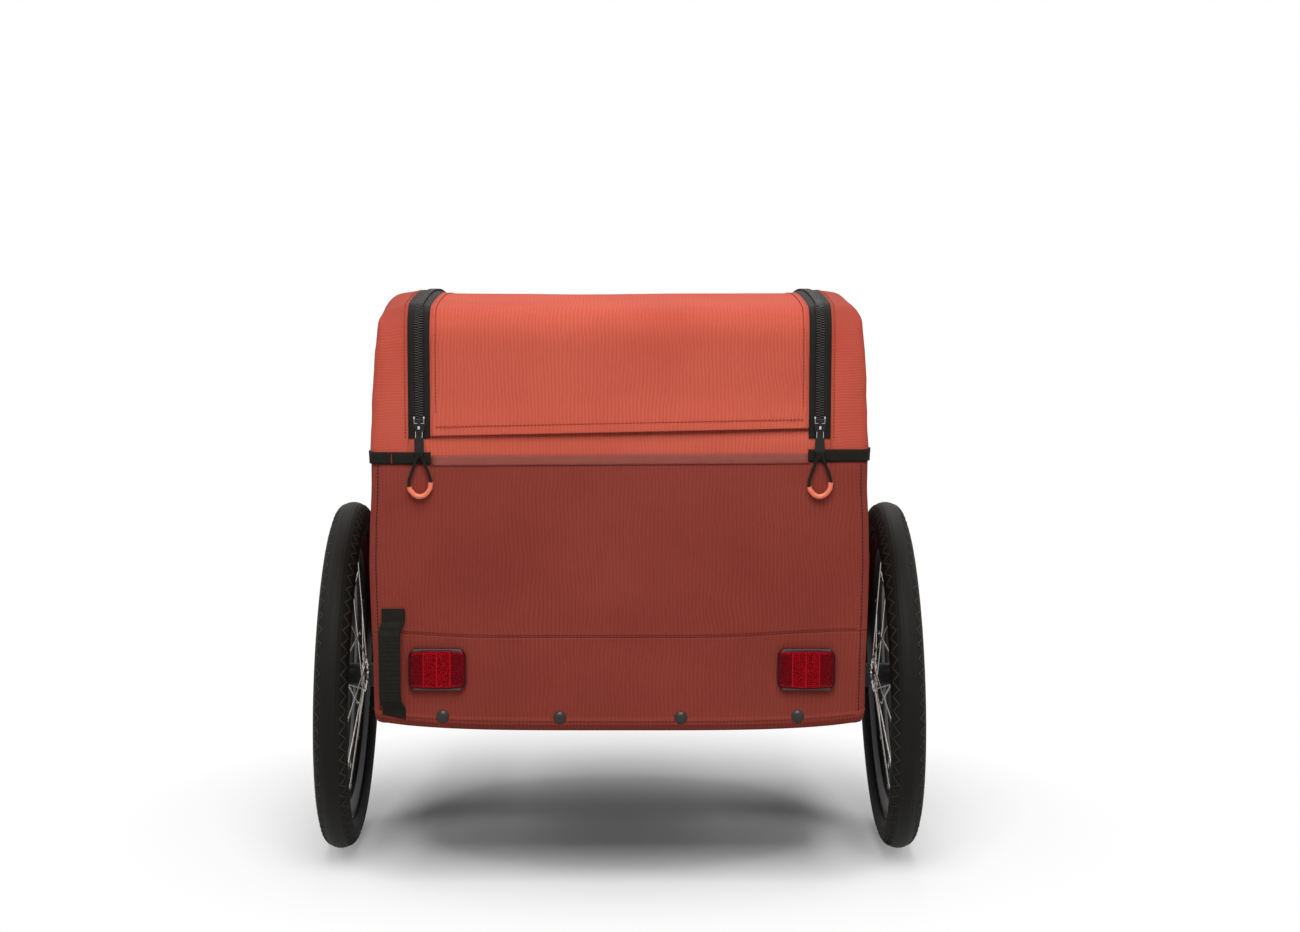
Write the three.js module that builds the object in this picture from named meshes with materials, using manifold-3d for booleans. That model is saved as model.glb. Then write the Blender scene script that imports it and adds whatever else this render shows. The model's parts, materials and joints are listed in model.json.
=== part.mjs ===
import * as THREE from 'three';
import { mergeVertices } from 'three/addons/utils/BufferGeometryUtils.js';
import Module from 'manifold-3d';

// Cargo trailer for towing behind a bicycle: two cambered spoked wheels, a tube frame with two hoops,
// a sewn body with a zipped roof, a towing arm on the left and a parking stand under the arm.
// Millimetres. +X is the trailer's right, +Y is forward, +Z is up. The wheel axles lie at Y zero.

const wasm = await Module();
wasm.setup();

// Clearances shared by every piece
const seatGap = 0.3;
const seamHalf = seatGap / 2;
const cutReach = 3000;

// Wheels
const tyreHeight = 47.3;
const tyreSectionRadius = 23.5;
const tyreSideSpace = 39.22;
const camberDegrees = 1.81;
const wheelFacets = 48;
const rimSeatRadius = 202.7;
const rimHalfWidth = 13;
const rimFlange = 2;
const rimFlangeHeight = 6.3;
const rimShoulderDepth = 4;
const rimDepth = 18.7;
const rimNoseHalfWidth = 7;
const tyreFootHalfWidth = 16.3;
const tyreArcSteps = 6;
const spokeCount = 20;
const spokeRadius = 1;
const spokeSides = 4;
const spokeCrossDegrees = 72;
const spokeFlangeShift = 2;
const nippleRadius = 2;
const nippleLength = 11;
const nippleRimOffset = 1;

// Hubs, bearings, axles and release buttons
const hubFacets = 16;
const hubHalfLength = 26;
const hubBarrelRadius = 14;
const hubEndRadius = 16;
const hubBoreRadius = 9;
const flangeOffset = 16;
const flangeThickness = 3;
const flangeRadius = 25;
const spokeHoleRadius = 21.5;
const bearingOuterRadius = 13;
const bearingWidth = 7;
const axleRadius = 6;
const axleClearance = 0.4;
const axleShoulderRadius = 9;
const axleShoulderLength = 4;
const axleHeadRadius = 9.5;
const axleHeadLength = 7;
const axleInnerSpace = 3;
const buttonRadius = 5;
const buttonStem = 3;
const buttonHeight = 4.5;
const buttonRound = 1.5;
const buttonPocketDepth = 14;

// Sewn body
const tubHalfWidth = 330;
const rearFaceY = -285;
const bodyBottomZ = 233;
const tubTopZ = 596;
const hoodTaperShare = 0.062;
const frontFootY = 535;
const frontLeanDegrees = 12;
const roofRadius = 2044;
const roofCrestY = -90;
const roofCrestZ = 803;
const rearCornerRadius = 26;
const frontCornerRadius = 32;
const sideEdgeRadius = 24;
const clothWall = 3;
const shoulderRise = 7;
const shoulderInset = 46;
const shoulderWidth = 48;
const rearSeamY = -255;
const frontSeamInset = 30;
const sideHemZ = 272;
const hemZ = 627;
const rearPanelCornerWidth = 60;
const rearPanelCornerHeight = 12;
const roofHingeY = 400;

// Zips
const zipInset = 66.5;
const zipTapeWidth = 14.5;
const coilHalfWidth = 3.2;
const coilProud = 1.6;

// Zip sliders, pullers and pull loops
const sliderWidth = 13;
const sliderHeight = 20;
const sliderPlate = 2.2;
const sliderRise = 4;
const bridgeWidth = 3;
const bridgeBar = 1.4;
const bridgeInnerHeight = 6;
const pullerThickness = 2;
const pullerEyeWidth = 9;
const pullerEyeHoleWidth = 5;
const pullerEyeHoleHeight = 6;
const pullerTailWidth = 6;
const pullerLength = 33;
const pullCordRadius = 2;
const pullCordSides = 6;
const pullCordSteps = 24;
const sleeveBoreRadius = 2.6;
const sleeveRadius = 3.4;

// Frame
const railWidth = 28;
const railHeight = 40;
const railBottomZ = 242;
const railCorner = 5;
const tubeWall = 2;
const crossTubeRadius = 12.5;
const crossTubeZ = 262;
const rearTubeY = -262;
const frontTubeY = 485;
const axleTubeRadius = 14;
const hoopRadius = 9;
const hoopWall = 1.5;
const hoopInset = 22;
const hoopBend = 40;
const hoopRoofSpace = 4;
const topRailRadius = 8;
const topRailInset = 45;
const topRailDrop = 22;
const floorThickness = 6;
const socketRadius = 17;
const socketPlateWidth = 58;
const socketPlateHeight = 34;
const socketPlateThickness = 6;
const socketPlateCorner = 8;
const tubeSides = 10;

// Trim on the rear panel
const stripThickness = 1;
const stripHeight = 14.6;
const stripBottomZ = 589;
const stripInset = 82;
const tabHeight = 17;
const leftTabBottomZ = 591;
const rightTabBottomZ = 595;
const tabThickness = 1.6;
const flagSleeveInset = 29;
const flagSleeveWidth = 31;
const flagSleeveBottomZ = 251;
const flagSleeveTopZ = 398;
const flagSleeveTab = 20;
const flagSleeveProud = 13;
const flagSleeveThickness = 1.8;
const leftReflectorInset = 87.5;
const rightReflectorInset = 81.5;
const reflectorZ = 317;
const reflectorWidth = 75;
const reflectorHeight = 50;
const reflectorBow = 3;
const reflectorCorner = 6;
const reflectorThickness = 8;
const reflectorBevel = 1.5;

// Towing arm
const armRadius = 14;
const armInset = 98.7;
const armInsertY = 390;
const armStraightY = 805;
const armRiseY = 985;
const armTipShift = 115;
const armTipZ = 330;
const armEyeY = 1052;
const armBend = 95;
const receiverRearY = 385;
const receiverLength = 130;
const receiverHalf = 19.5;
const receiverCorner = 4;
const knobY = 445;
const knobStemRadius = 4;
const knobHeadRadius = 19;
const knobLobes = 5;
const knobLobeDepth = 3;
const knobHeadLength = 14;
const knobStandOff = 3;
const forkWidth = 32;
const forkEar = 9;
const forkDepth = 34;
const headEyeHeight = 14;
const headEyeRadius = 15;
const kingpinRadius = 5;
const kingpinHeadRadius = 8;
const kingpinHeadHeight = 4;
const cupDistance = 46;
const cupRadius = 18;
const cupBoreRadius = 9.5;
const cupHeight = 38;
const cupRoof = 8;
const headNeckWidth = 16;

// Parking stand
const standY = 738;
const standLeanDegrees = 4;
const standDrop = 30;
const bracketWall = 4;
const bracketLength = 30;
const bracketEarThickness = 5;
const bracketPinRadius = 4;
const legEyeRadius = 9;
const legEyeWidth = 12;
const legRadius = 8;
const footRadius = 17;
const footTopRadius = 12;
const footHeight = 30;
const footSole = 9;

// Angles and places that follow from the sizes above
const camber = THREE.MathUtils.degToRad(camberDegrees);
const frontLean = THREE.MathUtils.degToRad(frontLeanDegrees);
const standLean = THREE.MathUtils.degToRad(standLeanDegrees);
const railTopZ = railBottomZ + railHeight;
const railOuterX = tubHalfWidth - clothWall - seatGap;
const railInnerX = railOuterX - railWidth;
const tyreRadius = rimSeatRadius + tyreHeight;
const wheelX = tubHalfWidth + tyreSideSpace + tyreSectionRadius;
const shoulderX = tubHalfWidth - shoulderInset;
const shoulderInnerX = shoulderX - shoulderWidth;
const zipX = tubHalfWidth - zipInset;
const hoopX = tubHalfWidth - hoopInset;
const topRailX = tubHalfWidth - topRailInset;
const stripHalfLength = tubHalfWidth - stripInset;
const flagSleeveX = flagSleeveInset - tubHalfWidth;
const leftReflectorX = leftReflectorInset - tubHalfWidth;
const rightReflectorX = tubHalfWidth - rightReflectorInset;
const armX = armInset - railInnerX;
const armTipX = armX + armTipShift;
const wallX = (z) => tubHalfWidth - hoodTaperShare * (z - tubTopZ);

// Materials: colours as the eye sees them
const finish = (colour, roughness, metalness = 0) =>
  new THREE.MeshStandardMaterial({ color: new THREE.Color(colour), roughness, metalness });
const finishes = {
  hoodCloth: finish('#c25a49', 0.8),
  tubCloth: finish('#843a34', 0.85),
  piping: finish('#92504a', 0.6),
  webbing: finish('#23221f', 0.9),
  zipTape: finish('#2b2926', 0.85),
  zipMetal: finish('#4a4a4a', 0.4, 0.7),
  pullGrey: finish('#4b4b49', 0.6),
  cord: finish('#1e1d1c', 0.85),
  sleeve: finish('#e6744f', 0.35),
  lens: finish('#b3101c', 0.15),
  rubber: finish('#262624', 0.85),
  rim: finish('#1b1b1c', 0.35, 0.6),
  steel: finish('#c9cacc', 0.3, 0.9),
  frameTube: finish('#2a2b2d', 0.45, 0.6),
  plastic: finish('#1d1d1e', 0.55),
  board: finish('#333334', 0.8),
};

const trailer = new THREE.Group();

// Solids: a geometry's shared corners are merged, flat slivers dropped, and its faces turned outwards
function closed(geometry) {
  const bare = geometry.index ? geometry.toNonIndexed() : geometry.clone();
  for (const name of Object.keys(bare.attributes)) {
    if (name !== 'position') bare.deleteAttribute(name);
  }
  const merged = mergeVertices(bare);
  const position = merged.getAttribute('position');
  const corner = [new THREE.Vector3(), new THREE.Vector3(), new THREE.Vector3()];
  const kept = [];
  let volume = 0;
  for (let i = 0; i < merged.index.count; i += 3) {
    const [a, b, c] = [merged.index.getX(i), merged.index.getX(i + 1), merged.index.getX(i + 2)];
    if (a === b || b === c || c === a) continue;
    kept.push(a, b, c);
    [a, b, c].forEach((index, place) => corner[place].fromBufferAttribute(position, index));
    volume += corner[0].dot(corner[1].clone().cross(corner[2]));
  }
  if (volume < 0) kept.reverse();
  merged.setIndex(kept);
  return merged;
}

function toSolid(geometry) {
  const mesh = closed(geometry);
  return new wasm.Manifold(new wasm.Mesh({
    numProp: 3,
    vertProperties: new Float32Array(mesh.getAttribute('position').array),
    triVerts: new Uint32Array(mesh.index.array),
  }));
}

function toGeometry(solid) {
  const mesh = solid.getMesh();
  const geometry = new THREE.BufferGeometry();
  geometry.setAttribute('position', new THREE.BufferAttribute(Float32Array.from(mesh.vertProperties), 3));
  geometry.setIndex(Array.from(mesh.triVerts));
  return geometry;
}

function piece(name, shape, material, parent = trailer) {
  const geometry = closed(shape.isBufferGeometry ? shape : toGeometry(shape));
  geometry.computeVertexNormals();
  const mesh = new THREE.Mesh(geometry, material);
  mesh.name = name;
  parent.add(mesh);
  return mesh;
}

// A block between two values on each axis; an axis left out reaches past everything
function block({ x = [-cutReach, cutReach], y = [-cutReach, cutReach], z = [-cutReach, cutReach] }) {
  const geometry = new THREE.BoxGeometry(x[1] - x[0], y[1] - y[0], z[1] - z[0]);
  return geometry.translate((x[0] + x[1]) / 2, (y[0] + y[1]) / 2, (z[0] + z[1]) / 2);
}

const slab = (range) => toSolid(block(range));

// Flat outlines, drawn in X and Y of their own plane
function polygon(radius, sides) {
  const points = [];
  for (let i = 0; i < sides; i += 1) {
    const angle = (2 * Math.PI * (i + 0.5)) / sides;
    points.push(new THREE.Vector2(radius * Math.cos(angle), radius * Math.sin(angle)));
  }
  return points;
}

function roundedRectangle(width, height, corner, target = new THREE.Shape()) {
  const right = width / 2 - corner;
  const top = height / 2 - corner;
  target.absarc(right, top, corner, 0, Math.PI / 2);
  target.absarc(-right, top, corner, Math.PI / 2, Math.PI);
  target.absarc(-right, -top, corner, Math.PI, Math.PI * 1.5);
  target.absarc(right, -top, corner, Math.PI * 1.5, Math.PI * 2);
  target.closePath();
  return target;
}

function tubeOutline(radius, wall, sides = tubeSides) {
  const shape = new THREE.Shape(polygon(radius, sides));
  if (wall > 0) shape.holes.push(new THREE.Path(polygon(radius - wall, sides)));
  return shape;
}

// Extrusions along each axis: the outline's own axes become the other two, in X, Y, Z order
const arcSegments = 3;

function extruded(shape, from, to, basis) {
  const geometry = new THREE.ExtrudeGeometry(shape, {
    depth: to - from, bevelEnabled: false, curveSegments: arcSegments,
  });
  return geometry.translate(0, 0, from).applyMatrix4(basis);
}

const unitX = new THREE.Vector3(1, 0, 0);
const unitY = new THREE.Vector3(0, 1, 0);
const unitZ = new THREE.Vector3(0, 0, 1);
const alongX = (shape, from, to) =>
  extruded(shape, from, to, new THREE.Matrix4().makeBasis(unitY, unitZ, unitX));
const alongY = (shape, from, to) =>
  extruded(shape, from, to, new THREE.Matrix4().makeBasis(unitX, unitZ, unitY));
const alongZ = (shape, from, to) =>
  extruded(shape, from, to, new THREE.Matrix4());

// A turned piece: pairs of distance along the X axis and radius, closed on itself or on the axis
function turned(profile, facets) {
  const points = profile.map(([along, radius]) => new THREE.Vector2(radius, along));
  const halfFacet = Math.PI / facets;
  return new THREE.LatheGeometry(points, facets, halfFacet, Math.PI * 2).rotateZ(-Math.PI / 2);
}

// A route whose stations are given, so that a straight run takes one step and a bend takes several
class StationCurve extends THREE.Curve {
  constructor(points, tangents) {
    super();
    this.points = points;
    this.tangents = tangents;
  }

  blend(list, t, target) {
    const place = t * (list.length - 1);
    const first = Math.min(Math.floor(place), list.length - 2);
    return target.lerpVectors(list[first], list[first + 1], place - first);
  }

  getPoint(t, target = new THREE.Vector3()) {
    return this.blend(this.points, t, target);
  }

  getPointAt(t, target) {
    return this.getPoint(t, target);
  }

  getTangentAt(t, target = new THREE.Vector3()) {
    return this.blend(this.tangents, t, target).normalize();
  }

  slice(first, last) {
    return new StationCurve(this.points.slice(first, last + 1), this.tangents.slice(first, last + 1));
  }
}

function bentRoute(corners, bendRadii, bendSteps) {
  const last = corners.length - 1;
  const heading = (i) => corners[i + 1].clone().sub(corners[i]).normalize();
  const points = [corners[0].clone()];
  const tangents = [heading(0)];
  for (let i = 1; i < last; i += 1) {
    const arriving = heading(i - 1);
    const leaving = heading(i);
    const turn = arriving.angleTo(leaving);
    const radius = bendRadii[i - 1];
    const inward = leaving.clone().addScaledVector(arriving, -leaving.dot(arriving)).normalize();
    const centre = corners[i].clone().addScaledVector(arriving, -radius * Math.tan(turn / 2))
      .addScaledVector(inward, radius);
    for (let k = 0; k <= bendSteps; k += 1) {
      const angle = (turn * k) / bendSteps;
      points.push(centre.clone().addScaledVector(inward, -radius * Math.cos(angle))
        .addScaledVector(arriving, radius * Math.sin(angle)));
      tangents.push(arriving.clone().multiplyScalar(Math.cos(angle))
        .addScaledVector(inward, Math.sin(angle)));
    }
  }
  points.push(corners[last].clone());
  tangents.push(heading(last - 1));
  return new StationCurve(points, tangents);
}

function swept(outline, route) {
  return new THREE.ExtrudeGeometry(outline, { extrudePath: route, steps: route.points.length - 1 });
}

// Side view of the sewn body: up the rear face, round the corner, over the domed roof and down the front
const roofCentreZ = roofCrestZ - roofRadius;
const roofZ = (y) => roofCentreZ + Math.sqrt(roofRadius ** 2 - (y - roofCrestY) ** 2);

function rearCorner() {
  const y = rearFaceY + rearCornerRadius;
  const z = roofCentreZ + Math.sqrt((roofRadius - rearCornerRadius) ** 2 - (y - roofCrestY) ** 2);
  return { y, z, angle: Math.atan2(z - roofCentreZ, y - roofCrestY) };
}

const frontLine = frontFootY * Math.cos(frontLean) + bodyBottomZ * Math.sin(frontLean);

function frontCorner() {
  const reach = roofRadius - frontCornerRadius;
  const offset = frontLine - frontCornerRadius
    - roofCrestY * Math.cos(frontLean) - roofCentreZ * Math.sin(frontLean);
  const angle = frontLean + Math.acos(offset / reach);
  const y = roofCrestY + reach * Math.cos(angle);
  return { y, z: roofCentreZ + reach * Math.sin(angle), angle };
}

const profileCornerSteps = 3;
const profileRoofSteps = 6;

function sideProfile() {
  const formFootZ = bodyBottomZ - railHeight;
  const points = [{ y: rearFaceY, z: formFootZ, angle: Math.PI }];
  const arc = (centre, radius, from, to, steps, first) => {
    for (let i = first; i <= steps; i += 1) {
      const angle = from + ((to - from) * i) / steps;
      points.push({
        y: centre.y + radius * Math.cos(angle), z: centre.z + radius * Math.sin(angle), angle,
      });
    }
  };
  const rear = rearCorner();
  const front = frontCorner();
  arc(rear, rearCornerRadius, Math.PI, rear.angle, profileCornerSteps, 0);
  arc({ y: roofCrestY, z: roofCentreZ }, roofRadius, rear.angle, front.angle, profileRoofSteps, 1);
  arc(front, frontCornerRadius, front.angle, frontLean, profileCornerSteps, 1);
  const footY = (frontLine - formFootZ * Math.sin(frontLean)) / Math.cos(frontLean);
  points.push({ y: footY, z: formFootZ, angle: frontLean });
  return points;
}

// The roof stands higher over the side rails than between the zips
function riseAt(x) {
  const share = THREE.MathUtils.smoothstep(Math.abs(x), shoulderInnerX, shoulderX);
  return shoulderRise * share;
}

// Closed form of the body, stacked across its width; inset moves every face inwards
const edgeSteps = 3;

function bodyForm(halfWidthAt, inset) {
  const profile = sideProfile();
  const radius = sideEdgeRadius - inset;
  const ring = (placeX, ringInset) => profile.map(({ y, z, angle }) => {
    const ringZ = z - ringInset * Math.sin(angle);
    const x = placeX(ringZ);
    return new THREE.Vector3(x, y - ringInset * Math.cos(angle),
      ringZ + riseAt(x) * Math.max(Math.sin(angle), 0));
  });
  const edge = (side, step) => {
    const angle = (Math.PI / 2) * (step / edgeSteps);
    const inwards = inset + radius * (1 - Math.cos(angle));
    return ring((z) => side * (halfWidthAt(z) - inwards), inset + radius * (1 - Math.sin(angle)));
  };
  const rings = [];
  for (let step = 0; step <= edgeSteps; step += 1) rings.push(edge(-1, step));
  for (const x of [-shoulderX, -zipX, -shoulderInnerX, shoulderInnerX, zipX, shoulderX]) {
    rings.push(ring(() => x, inset));
  }
  for (let step = edgeSteps; step >= 0; step -= 1) rings.push(edge(1, step));
  return loft(rings);
}

function loft(rings) {
  const corners = [];
  const triangle = (a, b, c) => corners.push(a, b, c);
  const cap = (ring, flip) => {
    const middle = ring.reduce((sum, point) => sum.add(point), new THREE.Vector3())
      .divideScalar(ring.length);
    ring.forEach((point, i) => {
      const next = ring[(i + 1) % ring.length];
      if (flip) triangle(middle, next, point);
      else triangle(middle, point, next);
    });
  };
  for (let r = 0; r + 1 < rings.length; r += 1) {
    rings[r].forEach((point, i) => {
      const j = (i + 1) % rings[r].length;
      triangle(point, rings[r + 1][i], rings[r + 1][j]);
      triangle(point, rings[r + 1][j], rings[r][j]);
    });
  }
  cap(rings[0], false);
  cap(rings[rings.length - 1], true);
  return new THREE.BufferGeometry().setFromPoints(corners);
}

const tubForm = (inset) => toSolid(bodyForm(() => tubHalfWidth, inset));
const hoodForm = (inset) => toSolid(bodyForm(wallX, inset));

// Everything in front of a plane that lies a given depth behind the leaning front face
function frontOf(depth) {
  const geometry = block({ y: [-depth, cutReach] });
  geometry.applyMatrix4(new THREE.Matrix4().makeRotationX(frontLean));
  return toSolid(geometry.translate(0, frontFootY, bodyBottomZ));
}

// Tub: rear panel, two sides and the front, meeting at sewn corners
const tubInner = tubForm(clothWall);
const tubShell = tubForm(0).subtract(tubInner).intersect(slab({ z: [0, tubTopZ - seamHalf] }));

function rearPanelOutline() {
  const half = tubHalfWidth + rearPanelCornerWidth;
  const cornerX = tubHalfWidth - rearPanelCornerWidth;
  const cornerZ = bodyBottomZ + rearPanelCornerHeight;
  const shape = new THREE.Shape();
  shape.moveTo(half, tubTopZ);
  shape.lineTo(-half, tubTopZ);
  shape.lineTo(-half, cornerZ);
  shape.absellipse(-cornerX, cornerZ, rearPanelCornerWidth, rearPanelCornerHeight, Math.PI, Math.PI * 1.5);
  shape.absellipse(cornerX, cornerZ, rearPanelCornerWidth, rearPanelCornerHeight, Math.PI * 1.5, Math.PI * 2);
  shape.lineTo(half, cornerZ);
  shape.closePath();
  return shape;
}

const rearCut = toSolid(alongY(rearPanelOutline(), -cutReach, rearSeamY - seamHalf));
piece('rear_panel', tubShell.intersect(rearCut), finishes.tubCloth);

const sideCut = slab({ y: [rearSeamY + seamHalf, cutReach], z: [sideHemZ, cutReach] })
  .subtract(frontOf(frontSeamInset + seamHalf));
const tubSides = tubShell.intersect(sideCut);
piece('left_side_panel', tubSides.intersect(slab({ x: [-cutReach, 0] })), finishes.tubCloth);
piece('right_side_panel', tubSides.intersect(slab({ x: [0, cutReach] })), finishes.tubCloth);
piece('front_panel', tubShell.intersect(frontOf(frontSeamInset - seamHalf))
  .intersect(slab({ z: [sideHemZ, cutReach] })), finishes.tubCloth);

// Hood: the sides run over the shoulders to the zips, and the roof panel lifts between them
const hoodInner = hoodForm(clothWall);
const aboveTub = slab({ z: [tubTopZ + seamHalf, cutReach] });
const hoodShell = hoodForm(0).subtract(hoodInner).intersect(aboveTub);
const coilShell = hoodForm(-coilProud).subtract(hoodInner).intersect(aboveTub);
const zipOuterX = zipX + zipTapeWidth;
const zipInnerX = zipX - zipTapeWidth;
const behindHinge = { y: [-cutReach, roofHingeY - seamHalf], z: [hemZ + seamHalf, cutReach] };
const betweenX = (a, b) => [Math.min(a, b), Math.max(a, b)];

piece('front_hood', hoodShell.intersect(slab({
  x: [-zipOuterX + seamHalf, zipOuterX - seamHalf], y: [roofHingeY + seamHalf, cutReach],
})), finishes.hoodCloth);
piece('rear_hood_band', hoodShell.intersect(slab({
  x: [-zipOuterX + seamHalf, zipOuterX - seamHalf], y: [-cutReach, roofHingeY - seamHalf],
  z: [0, hemZ - seamHalf],
})), finishes.hoodCloth);
piece('roof_panel', hoodShell.intersect(slab({
  x: [-zipInnerX + seamHalf, zipInnerX - seamHalf], ...behindHinge,
})), finishes.hoodCloth);

for (const [name, side] of [['left', -1], ['right', 1]]) {
  piece(`${name}_hood_side`, hoodShell.intersect(slab({
    x: betweenX(side * (zipOuterX + seamHalf), side * cutReach),
  })), finishes.hoodCloth);
  const tape = (from, to, coilEdge) => hoodShell
    .intersect(slab({ x: betweenX(side * from, side * to), ...behindHinge }))
    .add(coilShell.intersect(slab({ x: betweenX(side * coilEdge, side * from), ...behindHinge })));
  piece(`${name}_zip_outer_tape`, tape(zipX + seamHalf, zipOuterX - seamHalf, zipX + coilHalfWidth),
    finishes.zipTape);
  piece(`${name}_zip_inner_tape`, tape(zipX - seamHalf, zipInnerX + seamHalf, zipX - coilHalfWidth),
    finishes.zipTape);
}

// Frame: side rails trimmed to the inside of the tub, cross tubes between them and a floor on top
const tubSpace = tubForm(clothWall + seatGap);
const railMiddleX = (railOuterX + railInnerX) / 2;

for (const [name, side] of [['left', -1], ['right', 1]]) {
  const outline = roundedRectangle(railWidth, railHeight, railCorner);
  outline.holes.push(roundedRectangle(railWidth - 2 * tubeWall, railHeight - 2 * tubeWall,
    railCorner - tubeWall, new THREE.Path()));
  const rail = alongY(outline, rearFaceY, frontFootY)
    .translate(side * railMiddleX, 0, railBottomZ + railHeight / 2);
  piece(`${name}_side_rail`, toSolid(rail).intersect(tubSpace), finishes.frameTube);
}

function crossTube(radius, y, z) {
  const half = railInnerX - seatGap;
  return alongX(tubeOutline(radius, tubeWall), -half, half).translate(0, y, z);
}

piece('rear_cross_tube', crossTube(crossTubeRadius, rearTubeY, crossTubeZ), finishes.frameTube);
piece('front_cross_tube', crossTube(crossTubeRadius, frontTubeY, crossTubeZ), finishes.frameTube);

const floorZ = crossTubeZ + crossTubeRadius + seatGap;
piece('floor_panel', block({
  x: [-railInnerX + seatGap, railInnerX - seatGap],
  y: [rearTubeY - crossTubeRadius, frontTubeY + crossTubeRadius],
  z: [floorZ, floorZ + floorThickness],
}), finishes.board);

// Hoops stand on the rails and follow the rear face and the leaning front; top rails are coped to them
const bendSteps = 4;
const hoopOutline = tubeOutline(hoopRadius, hoopWall);
const hoopSpaceOutline = tubeOutline(hoopRadius + seatGap, 0);

function hoopRoute(foot, top) {
  const at = ({ y, z }, side) => new THREE.Vector3(side * hoopX, y, z);
  return bentRoute([at(foot, -1), at(top, -1), at(top, 1), at(foot, 1)], [hoopBend, hoopBend], bendSteps);
}

const hoopFootZ = railTopZ + seatGap;
const rearHoopTop = { y: rearTubeY, z: roofZ(rearTubeY) - clothWall - hoopRoofSpace - hoopRadius };
const rearHoopRoute = hoopRoute({ y: rearTubeY, z: hoopFootZ }, rearHoopTop);

const frontTop = frontCorner();
const frontHoopReach = frontCornerRadius - clothWall - hoopRoofSpace - hoopRadius;
const frontHoopAngle = (frontTop.angle + frontLean) / 2;
const frontHoopTop = {
  y: frontTop.y + frontHoopReach * Math.cos(frontHoopAngle),
  z: frontTop.z + frontHoopReach * Math.sin(frontHoopAngle),
};
const frontHoopFootY = frontHoopTop.y + (frontHoopTop.z - hoopFootZ) * Math.tan(frontLean);
const frontHoopRoute = hoopRoute({ y: frontHoopFootY, z: hoopFootZ }, frontHoopTop);
const aboveRails = slab({ z: [hoopFootZ, cutReach] });

piece('rear_hoop', swept(hoopOutline, rearHoopRoute), finishes.frameTube);
piece('front_hoop', toSolid(swept(hoopOutline, frontHoopRoute)).intersect(aboveRails), finishes.frameTube);

const topRailSteps = 5;

function topRailRoute(x) {
  const radius = roofRadius - topRailDrop;
  const angleAt = (y) => Math.acos((y - roofCrestY) / radius);
  const from = angleAt(rearHoopTop.y);
  const to = angleAt(frontHoopTop.y);
  const points = [];
  const tangents = [];
  for (let i = 0; i <= topRailSteps; i += 1) {
    const angle = from + ((to - from) * i) / topRailSteps;
    const height = roofCentreZ + radius * Math.sin(angle);
    points.push(new THREE.Vector3(x, roofCrestY + radius * Math.cos(angle), height));
    tangents.push(new THREE.Vector3(0, Math.sin(angle), -Math.cos(angle)));
  }
  return new StationCurve(points, tangents);
}

const hoopSpace = toSolid(swept(hoopSpaceOutline, rearHoopRoute))
  .add(toSolid(swept(hoopSpaceOutline, frontHoopRoute)));
const largest = (solid) => solid.decompose().sort((a, b) => b.volume() - a.volume())[0];

for (const [name, side] of [['left', -1], ['right', 1]]) {
  const rail = toSolid(swept(tubeOutline(topRailRadius, 0), topRailRoute(side * topRailX)));
  piece(`${name}_top_rail`, largest(rail.subtract(hoopSpace)), finishes.frameTube);
}

// Wheel parts are drawn for the right side, with +X outwards from the wheel's middle
const bearingSeat = bearingOuterRadius + seatGap;
const shaftHole = axleRadius + axleClearance;

function tyreProfile() {
  const centre = tyreRadius - tyreSectionRadius;
  const footRadius = rimSeatRadius + rimFlangeHeight + seatGap;
  const beadHalf = rimHalfWidth - rimFlange - seatGap;
  const start = Math.atan2(footRadius - centre, tyreFootHalfWidth);
  const points = [[beadHalf, rimSeatRadius + seatGap], [beadHalf, footRadius]];
  for (let i = 0; i <= tyreArcSteps; i += 1) {
    const angle = start + ((Math.PI - 2 * start) * i) / tyreArcSteps;
    points.push([tyreSectionRadius * Math.cos(angle), centre + tyreSectionRadius * Math.sin(angle)]);
  }
  points.push([-beadHalf, footRadius], [-beadHalf, rimSeatRadius + seatGap]);
  points.push(points[0]);
  return points;
}

function rimProfile() {
  const flangeTop = rimSeatRadius + rimFlangeHeight;
  const seatHalf = rimHalfWidth - rimFlange;
  const shoulder = rimSeatRadius - rimShoulderDepth;
  const nose = rimSeatRadius - rimDepth;
  const right = [
    [seatHalf, rimSeatRadius], [seatHalf, flangeTop], [rimHalfWidth, flangeTop],
    [rimHalfWidth, shoulder], [rimNoseHalfWidth, nose],
  ];
  const left = right.map(([along, radius]) => [-along, radius]).reverse();
  return [...right, ...left, right[0]];
}

function hubProfile() {
  const flangeInner = flangeOffset - flangeThickness / 2;
  const flangeOuter = flangeOffset + flangeThickness / 2;
  const seatStart = hubHalfLength - bearingWidth - seatGap;
  const right = [
    [flangeInner, hubBarrelRadius], [flangeInner, flangeRadius], [flangeOuter, flangeRadius],
    [flangeOuter, hubEndRadius], [hubHalfLength, hubEndRadius], [hubHalfLength, bearingSeat],
    [seatStart, bearingSeat], [seatStart, hubBoreRadius],
  ];
  const left = right.map(([along, radius]) => [-along, radius]).reverse();
  return [...right, ...left, right[0]];
}

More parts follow.
